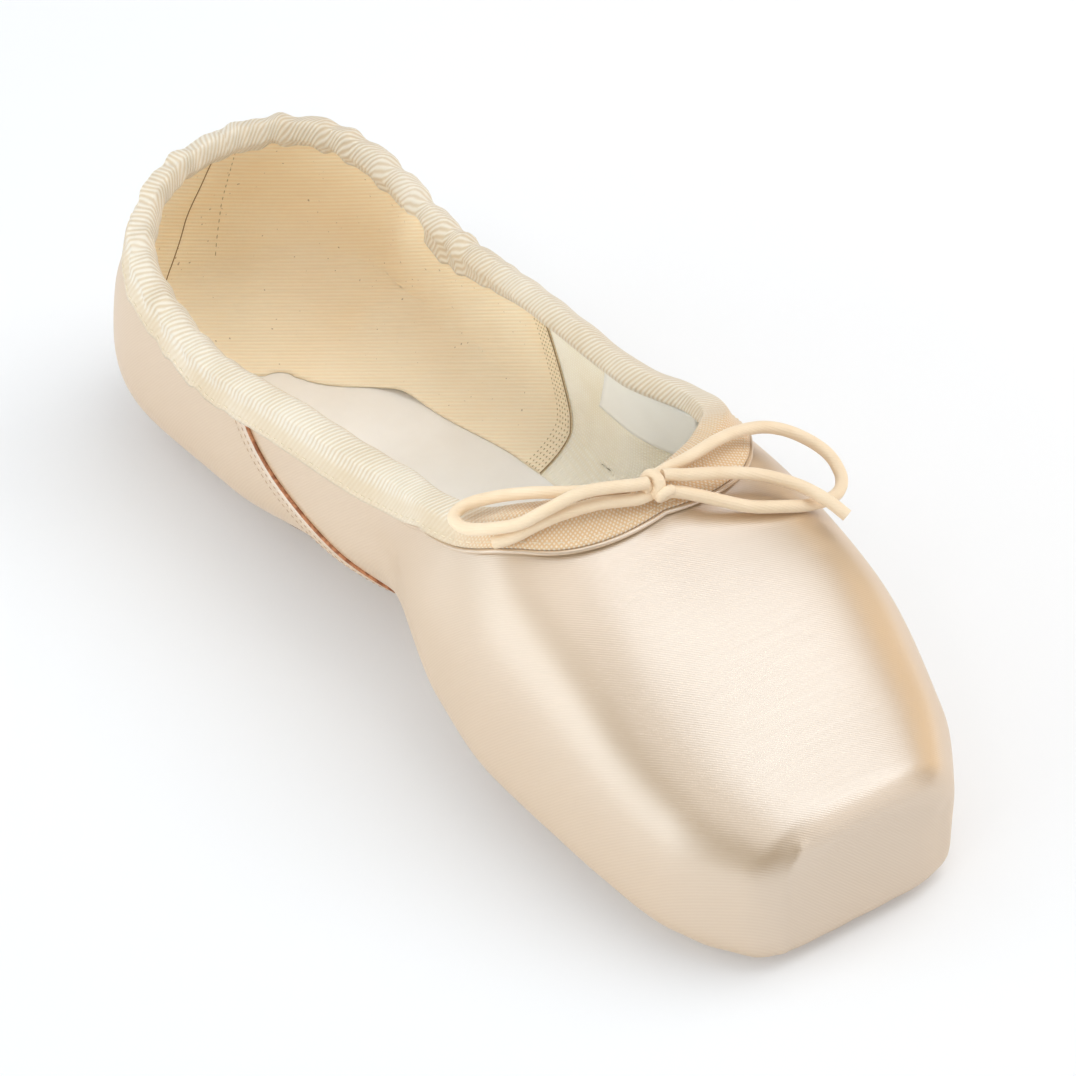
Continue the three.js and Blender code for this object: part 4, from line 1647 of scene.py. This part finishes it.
@dataclass
class Binding:
    """Twill tape folded over the collar, puffed by the drawstring inside it."""

    last: Last
    fans: Fans = Fans(60, 110, 110)
    rows: int = 32
    thickness: float = 0.9
    clearance: float = 0.45
    side_width: Knots = ((0, 9.6), (.2, 8.8), (.3, 8.2), (.38, 8.8), (.45, 8.6), (.52, 7.6), (.574, 5))
    front_width: Knots = ((0, 6.2), (.5, 9), (.83, 6.4), (1, 5))
    inside_width: Knots = ((0, 4.6), (.15, 4.6), (.2, 7.5), (.29, 4.5), (.36, 3.2), (1, 3.2))
    swell: float = 0.7
    casing: float = 3.4
    gather_height: float = 0.6
    gather_reach: Span = (55.0, 95.0)
    gather_rise: float = 0.7
    gather_width: float = 0.7
    gather_waves: tuple[Ripple, ...] = (
        Ripple(0.65, 8.6, sway=0.9, sway_length=7.0), Ripple(0.35, 5.1, shift=1.3),
    )
    ripple: Ripple = Ripple(0.125, 13.0, sway=1.1, sway_length=9.0)
    tape_stands_off: float = 1.0
    join_fade: float = 4.0
    rays: int = 240
    face: np.ndarray = field(init=False)

    def width(self, rim: np.ndarray) -> float:
        """The tape's width outside the rim, drawn in at the throat's corners and at the knot.

        Args:
            rim: a place on the rim.

        Returns:
            The width there.
        """
        if rim[1] < self.last.toe_pivot:
            return float(SmoothCurve(self.side_width, LENGTH)(rim[1]))
        return float(SmoothCurve(self.front_width, self.last.throat_half_width)(abs(rim[0])))

    def section(self, outer: np.ndarray, inner: np.ndarray, heading: np.ndarray) -> np.ndarray:
        """The tape's face at a station: up outside, over the casing and down inside.

        Args:
            outer: the wall's outside, up to the rim.
            inner: the wall's inside, up to the rim.
            heading: the station's heading.

        Returns:
            The rows of one column.
        """
        face = self.clearance + self.tape_stands_off
        puffed = face + self.swell
        fold = (outer[-1] + inner[-1]) / 2
        width, inner_width = self.width(fold), float(SmoothCurve(self.inside_width, LENGTH)(fold[1]))
        rise = beside(outer, heading, 0, 0)[1]
        inside = [(self.swell, puffed), (self.casing, face), (inner_width, face)]
        outside = [(width, face), ((width + self.casing) / 2, face), inside[1], inside[0]]
        knots = [beside(outer, heading, d, a)[0] for d, a in outside]
        knots.append(fold + rise * puffed)
        knots += [beside(inner, heading, d, -a)[0] for d, a in inside]
        return smooth_through(np.array(knots), self.rows)

    def gathers(self, net: np.ndarray) -> tuple[np.ndarray, np.ndarray]:
        """How far gathers lift the tape off the shoe, and up.

        Args:
            net: columns of the flat tape's places.

        Returns:
            Both lifts at each place.
        """
        crest = net[:, self.rows // 2]
        run = run_of(crest)
        from_heel = np.minimum(run, run[-1] - run)
        drawn = 1 - smoothstep(from_heel, *self.gather_reach)
        wave = sum(gather.at(run) for gather in self.gather_waves)
        row = np.linspace(-1, 1, self.rows)
        lift = self.gather_height * drawn * wave + self.ripple.at(run)
        off = lift[:, None] * np.exp(-((row / self.gather_width) ** 2))
        up = (self.gather_rise * drawn * np.roll(wave, 3))[:, None] * np.abs(row)
        ends = smoothstep(from_heel, 0, self.join_fade)[:, None]
        return off * ends, up * ends

    def build(self) -> None:
        """Folds the tape over the collar."""
        outers = self.last.profiles(self.fans, np.zeros_like, self.rays)
        inners = self.last.profiles(self.fans, self.last.wall, self.rays)
        headings = self.last.stations(self.fans)[1]
        half = np.stack([self.section(o, i, h) for o, i, h in zip(outers, inners, headings)])
        net = whole_ring(half)
        off, up = self.gathers(net)
        net = net + faces_out(net) * off[..., None] + up[..., None] * np.array([0, 0, 1.0])
        self.face = net
        piece = lay_cloth("binding_tape", net)
        thicken(piece, self.thickness)
        settle(piece, TAPE, ["collar_binding"])


@dataclass(frozen=True)
class Stitching:
    """Rows of stitches, all alike, as one piece."""

    name: str
    finish: Finish
    pitch: float
    length: float
    thickness: float
    look_ahead: float = 0.2

    def one_stitch(self) -> tuple[np.ndarray, list[tuple[int, ...]]]:
        """Models a single stitch: its corners about its middle, and its faces.

        Returns:
            The corners and faces.
        """
        bpy.ops.object.select_all(action="DESELECT")
        bpy.ops.mesh.primitive_uv_sphere_add(segments=6, ring_count=4, radius=0.5)
        model = bpy.context.active_object
        corners = np.array([vertex.co for vertex in model.data.vertices])
        faces = [tuple(face.vertices) for face in model.data.polygons]
        bpy.ops.object.delete()
        return corners * (self.thickness, self.thickness, self.length), faces

    def sew(self, rows: Sequence[tuple[np.ndarray, np.ndarray]]) -> None:
        """Sews along lines of places, each with the directions that its stitches stand up in.

        Args:
            rows: the lines and directions.
        """
        model, faces = self.one_stitch()
        corners: list[np.ndarray] = []
        sides: list[tuple[int, ...]] = []
        for line, up in rows:
            run = run_of(line)
            at = np.arange(self.pitch / 2, run[-1], self.pitch)
            ahead = along(line, run, at + self.look_ahead) - along(line, run, at - self.look_ahead)
            ahead /= np.linalg.norm(ahead, axis=-1, keepdims=True)
            stands = along(up, run, at)
            across = np.cross(stands, ahead)
            for place, turn in zip(along(line, run, at), np.stack([across, stands, ahead], axis=1)):
                first = len(corners) * len(model)
                sides += [tuple(first + k for k in face) for face in faces]
                corners.append(place + model @ turn)
        mesh = bpy.data.meshes.new(self.name)
        mesh.from_pydata(in_shoe(np.vstack(corners)), [], sides)
        piece = bpy.data.objects.new(self.name, mesh)
        bpy.context.scene.collection.objects.link(piece)
        close_up(piece, closed=True)
        settle(piece, self.finish)


@dataclass
class Seams:
    """Seams and stitches, inside and outside, and the blank label."""

    last: Last
    lining: Lining
    binding: Binding
    edge_thickness: float = 0.85
    edge_off: float = 0.2
    strip_width: float = 3.6
    strip_rise: float = 0.75
    strip_thickness: float = 0.4
    strip_columns: int = 9
    strip_flatness: int = 3
    strip_rows: tuple[float, ...] = (0.3, 0.72)
    strip_stitch_off: float = 0.1
    side_points: int = 60
    heel_points: int = 40
    line_thickness: float = 0.26
    lines_off: tuple[float, ...] = (0.1, 0.1, 0.05)
    dots_off: float = 0.05
    heel_row_off: float = 0.03
    dot_rows: tuple[float, ...] = (1.0, 2.0, 3.0, 4.0, 5.0)
    heel_seam: Knots = ((1.2, 0.06), (1.7, 0.2), (3.2, 0.36), (6.2, 0.5))
    heel_row: Knots = ((4.6, 0.06), (4.0, 0.25), (2.6, 0.5))
    side_seam: Knots = (
        (68.4, 38.5), (70.5, 35.4), (74.4, 31.4), (80.0, 27.6), (87.0, 24.6), (95.0, 21.8), (103.5, 18.2),
        (110.0, 14.0),
    )
    label: Knots = ((109.0, 46.5), (104.5, 33.0), (131.0, 34.0), (135.5, 48.5))
    label_net: tuple[int, int] = (24, 16)
    label_off: float = 0.5
    label_curl: Span = (0.35, 3.0)
    label_thickness: float = 0.3
    tape_row: int = 2
    roll_from: float = 122.0
    roll_row: int = 3
    roll_below: float = 0.55
    roll_sunk: Span = (0.58, 0.6)
    roll_fade: float = 0.05
    roll_thickness: float = 0.95

    def inside(self, s: np.ndarray) -> np.ndarray:
        """The inset of the lining's face."""
        return self.last.wall(s)

    def lay_line(self, name: str, line: np.ndarray, thickness: float, finish: Finish) -> None:
        """Lays a thin round edge or thread along a line.

        Args:
            name: the piece's name.
            line: its middle.
            thickness: its thickness in millimetres.
            finish: what it is made of.
        """
        edge = round_cord(name, line, thickness)
        bpy.ops.object.convert(target="MESH")
        settle(edge, finish)

    def side_row(self, side: Side, heelward: float, off: float) -> tuple[np.ndarray, np.ndarray]:
        """A line beside an outer side seam, and the directions off the satin there.

        Args:
            side: which side of the shoe.
            heelward: how far towards the heel from the seam.
            off: how far off the satin.

        Returns:
            The line's places and directions.
        """
        flat = smooth_pairs(self.side_seam, self.side_points)
        ahead = np.gradient(flat, axis=0)
        ahead /= np.linalg.norm(ahead, axis=-1, keepdims=True)
        flat = flat + heelward * np.stack([ahead[:, 1], -ahead[:, 0]], axis=-1)
        line = self.last.on_side(flat, side, np.zeros_like)
        up = self.last.outward(line, np.zeros_like)
        return line + up * (total_lift(WALL_FOLDS, line) + off)[:, None], up

    def sew_outside(self) -> None:
        """Sews the side seams: a raw edge with a stitched strip behind it."""
        rows = []
        for side in Side:
            name = side.name.lower()
            edge = self.side_row(side, 0.0, self.edge_off)[0][::2]
            self.lay_line(f"side_seam_edge_{name}", edge, self.edge_thickness, RAW_EDGE)
            shares = np.linspace(-1, 1, self.strip_columns)
            crown = self.strip_rise * (1 - np.abs(shares) ** self.strip_flatness)
            lines = [self.side_row(side, self.strip_width * (0.5 + share / 2), rise)[0]
                     for share, rise in zip(shares, crown)]
            net = np.stack(lines, axis=1)
            strip = lay_grid(f"side_seam_strip_{name}", net, net_lengths(net))
            thicken(strip, self.strip_thickness, 0.0)
            close_up(strip, closed=True)
            settle(strip, SATIN)
            off = self.strip_rise + self.strip_stitch_off
            rows += [self.side_row(side, self.strip_width * share, off) for share in self.strip_rows]
        seam = Stitching("side_seam_stitches", SEAM_THREAD, pitch=1.5, length=1.0, thickness=0.34)
        seam.sew(rows)

    def sew_inside(self) -> None:
        """Sews the lining's side seams and heel seam."""
        rows, dark = [], []
        for side in Side:
            dark.append(self.lining.seam(side, 0.0))
            for heelward in self.dot_rows:
                line, up = self.lining.seam(side, heelward)
                rows.append((line + up * self.dots_off, up))
        columns, shares = smooth_pairs(self.heel_seam, self.heel_points).T
        dark.append(self.lining.spot(columns, shares))
        columns, shares = smooth_pairs(self.heel_row, self.heel_points).T
        line, up = self.lining.spot(self.lining.face.shape[0] - 1 - columns, shares)
        heel = [(line + up * self.heel_row_off, up)]
        for i, ((seam, stands), off) in enumerate(zip(dark, self.lines_off)):
            self.lay_line(f"lining_seam_line_{i}", seam + stands * off, self.line_thickness, LINING_THREAD)
        dots = Stitching("lining_seam_stitches", DOT_THREAD, pitch=1.1, length=0.55, thickness=0.24)
        dots.sew(rows)
        stitches = Stitching("heel_seam_stitches", DOT_THREAD, pitch=2.2, length=1.2, thickness=0.24)
        stitches.sew(heel)

    def sew_label(self) -> None:
        """Sews in the blank label, its top tucked under the tape."""
        corners = np.array(self.label)
        across, up = np.meshgrid(*(np.linspace(0, 1, count) for count in self.label_net), indexing="ij")
        a, b, c, d = (corner[None, None] for corner in corners)
        u, v = across[..., None], up[..., None]
        spots = (b * (1 - u) + c * u) * (1 - v) + (a * (1 - u) + d * u) * v
        net = self.last.on_side(spots.reshape(-1, 2), Side.FAR, self.inside)
        off = -self.last.outward(net, self.inside)
        curl = self.label_off + self.label_curl[0] * np.sin(self.label_curl[1] * across) * (1 - up)
        net = (net + off * curl.reshape(-1, 1)).reshape(*self.label_net, 3)
        piece = lay_grid("blank_label", net)
        thicken(piece, self.label_thickness, 0.0)
        close_up(piece, closed=True)
        settle(piece, LABEL)

    def sew_tape(self) -> None:
        """Sews the tape down along its lower edge."""
        face = self.binding.face
        line, up = face[:, self.tape_row], faces_out(face)[:, self.tape_row]
        stitches = Stitching("tape_stitches", TAPE_THREAD, pitch=2.4, length=1.5, thickness=0.24)
        stitches.sew([(line + up * self.dots_off, up)])

    def roll_throat(self) -> None:
        """Rolls the satin's edge against the tape across the throat."""
        face = self.binding.face
        front = np.nonzero(face[:, 0, 1] > self.roll_from)[0]
        front = slice(front[0], front[-1] + 1)
        line = face[front, 0]
        below = line - face[front, self.roll_row]
        below /= np.linalg.norm(below, axis=-1, keepdims=True)
        spot = line + below * self.roll_below
        up = self.last.outward(spot, np.zeros_like)
        order = np.arange(len(spot))
        ends = np.minimum(order, order[::-1]) / len(face)
        sunk = self.roll_sunk[0] + self.roll_sunk[1] * (1 - smoothstep(ends, 0.0, self.roll_fade))
        self.lay_line("satin_throat_roll", (spot - up * sunk[:, None])[::3], self.roll_thickness, SATIN)

    def build(self) -> None:
        """Sews everything."""
        self.sew_outside()
        self.sew_inside()
        self.sew_label()
        self.sew_tape()
        self.roll_throat()


@dataclass
class Plate:
    """A flat piece inside the sole's outline, grown all round, with a rounded edge."""

    last: Last
    name: str
    grow: float
    fans: Fans = Fans(28, 60, 44)
    rings: int = 22
    edge_round: float = 0.7
    edge_share: float = 0.45
    crowding: float = 1.8
    rim_reach: Span = (0.3, 2.2)

    def plan(self) -> np.ndarray:
        """Places of the plan from the spine out to the edge, at each station of one side.

        Returns:
            Stations by rings of places, closer together near the edge.
        """
        origins, headings = self.last.stations(self.fans)
        reach = self.last.reach(origins, headings, self.grow)
        share = 1 - (1 - np.linspace(0, 1, self.rings)) ** self.crowding
        return origins[:, None] + headings[:, None] * (reach[:, None] * share)[..., None]

    def shape(self, plan: np.ndarray, bottom: np.ndarray, top: np.ndarray) -> Piece:
        """Closes the plate between a bottom and a top height, its edge rounded over.

        Args:
            plan: places of the plan.
            bottom: heights of the underside there.
            top: heights of the top there.

        Returns:
            The closed piece.
        """
        out = np.linalg.norm(plan - plan[:, -1:], axis=-1)
        past = np.clip(1 - out / self.edge_round, 0, 1)
        curl = (1 - np.sqrt(1 - past**2)) * np.minimum(self.edge_round, (top - bottom) * self.edge_share)
        under, over = plan.copy(), plan.copy()
        under[..., 2], over[..., 2] = bottom + curl, top - curl
        piece = lay_grid(self.name, whole_ring(np.concatenate([under, over[:, ::-1]], axis=1)))
        out = np.concatenate([out, out[:, ::-1]], axis=1)
        self.mark_rim(piece, np.concatenate([out, out[-2::-1]]))
        close_up(piece, closed=True)
        return piece

    def mark_rim(self, piece: Piece, out: np.ndarray) -> None:
        """Keeps on each corner how near it is to the plate's edge.

        Args:
            piece: the plate.
            out: distances from the edge, by columns and rows.
        """
        near = 1 - smoothstep(out, *self.rim_reach)
        values = np.swapaxes(near, 0, 1).ravel().astype(np.float32)
        attribute = piece.data.attributes.new("rim", "FLOAT", "POINT")
        attribute.data.foreach_set("value", values)


@dataclass
class Soles:
    """The leather outsole and the pale sock inside."""

    last: Last
    gap: float = 0.4
    outsole_thickness: float = 2.8
    sock_thickness: float = 1.6
    sock_wider: float = 2.0
    sock_edge: float = 0.6
    channel_in: float = 3.4
    channel_depth: float = 0.35
    channel_width: float = 0.6

    def build(self) -> None:
        """Shapes both."""
        outsole = Plate(self.last, "leather_outsole", 0.0)
        plan = outsole.plan()
        top = self.last.underside(plan, np.zeros_like) - self.gap
        bottom = np.maximum(top - self.outsole_thickness, 0.0)
        from_edge = np.linalg.norm(plan - plan[:, -1:], axis=-1)
        channel = self.channel_depth * np.exp(-(((from_edge - self.channel_in) / self.channel_width) ** 2))
        settle(outsole.shape(plan, bottom + channel, top), SOLE, ["outsole"])
        sock = Plate(self.last, "sock", self.sock_wider, edge_round=self.sock_edge)
        plan = sock.plan()
        bottom = self.last.underside(plan, self.last.wall) + self.gap
        settle(sock.shape(plan, bottom, bottom + self.sock_thickness), SOCK, ["insole"])


@dataclass(frozen=True)
class Softbox:
    """One soft light: its place, its sides in metres and how bright its face is."""

    name: str
    place: Place
    size: Span
    radiance: float
    shows: Shows = Shows.BOTH
    colour: Place = (1.0, 0.99, 0.975)
    spread: float = math.pi
    aim: Place = (0.0, -0.02, 0.03)

    def hang(self) -> None:
        """Hangs the light so that it faces what it aims at."""
        data = bpy.data.lights.new(self.name, "AREA")
        data.shape, data.size, data.size_y = "RECTANGLE", *self.size
        data.energy = self.radiance * math.pi * self.size[0] * self.size[1]
        data.color, data.spread = self.colour, self.spread
        lamp = bpy.data.objects.new(self.name, data)
        lamp.location = self.place
        lamp.visible_glossy = self.shows is not Shows.MATT
        lamp.visible_diffuse = self.shows is not Shows.GLOSS
        lamp.rotation_mode = "QUATERNION"
        lamp.rotation_quaternion = (Vector(self.aim) - Vector(self.place)).to_track_quat("-Z", "Y")
        bpy.context.scene.collection.objects.link(lamp)


COOL = (0.89, 0.96, 1.0)


@dataclass
class Studio:
    """A white sweep under soft lights."""

    floor_size: float = 8.0
    air: Colour = (0.95, 0.98, 1.0, 1.0)
    air_strength: float = 0.71
    lights: tuple[Softbox, ...] = (
        Softbox("softbox_above", (0.62, -0.25, 1.35), (1.1, 1.5), 2.15, colour=(0.96, 0.985, 1.0)),
        Softbox("card_above", (-0.2, 0.55, 1.35), (0.75, 0.9), 2.0, Shows.GLOSS),
        Softbox("card_behind", (-0.85, 0.5, 1.1), (1.2, 1.2), 0.6, Shows.GLOSS),
        Softbox("softbox_left", (-1.2, 0.15, 0.3), (1.6, 0.6), 2.85, Shows.MATT, COOL),
        Softbox("card_corner", (-0.4, -0.47, 1.0), (0.6, 0.6), 1.1, Shows.GLOSS),
        Softbox("card_left", (-1.2, 0.35, 0.35), (1.6, 0.9), 1.5, Shows.GLOSS, COOL),
        Softbox("card_front", (0.5, -0.95, 0.6), (0.9, 1.2), 1.25, Shows.GLOSS),
        Softbox("warm_fill", (0.42, -0.1, 0.12), (0.25, 0.25), 1.2, colour=(1.0, 0.68, 0.38)),
        Softbox("inside_fill", (-0.62, -0.3, 0.8), (0.2, 0.2), 0.085, Shows.MATT,
                spread=math.radians(14), aim=(0.012, 0.035, 0.03)),
    )

    def build(self) -> None:
        """Lays the floor and hangs the lights."""
        bpy.ops.object.select_all(action="DESELECT")
        bpy.ops.mesh.primitive_plane_add(size=self.floor_size)
        floor = rename(bpy.context.active_object, "studio_floor")
        floor.data.materials.append(FLOOR.material())
        for softbox in self.lights:
            softbox.hang()
        world = bpy.context.scene.world = bpy.data.worlds.new("studio_air")
        world.use_nodes = True
        air = world.node_tree.nodes["Background"].inputs
        air["Color"].default_value, air["Strength"].default_value = self.air, self.air_strength
        world.cycles_visibility.glossy = False
        bpy.context.scene.view_settings.view_transform = "Standard"


def main() -> None:
    """Builds the shoe piece by piece."""
    logging.basicConfig(level=logging.INFO, format="%(name)s %(message)s")
    last = Last()
    PhotoCamera().build()
    Drawstring().build()
    lining, binding = Lining(last), Binding(last)
    seams = Seams(last, lining, binding)
    for assembly in (SatinUpper(last), lining, binding, seams, Soles(last), Studio()):
        assembly.build()


if __name__ == "__main__":
    main()
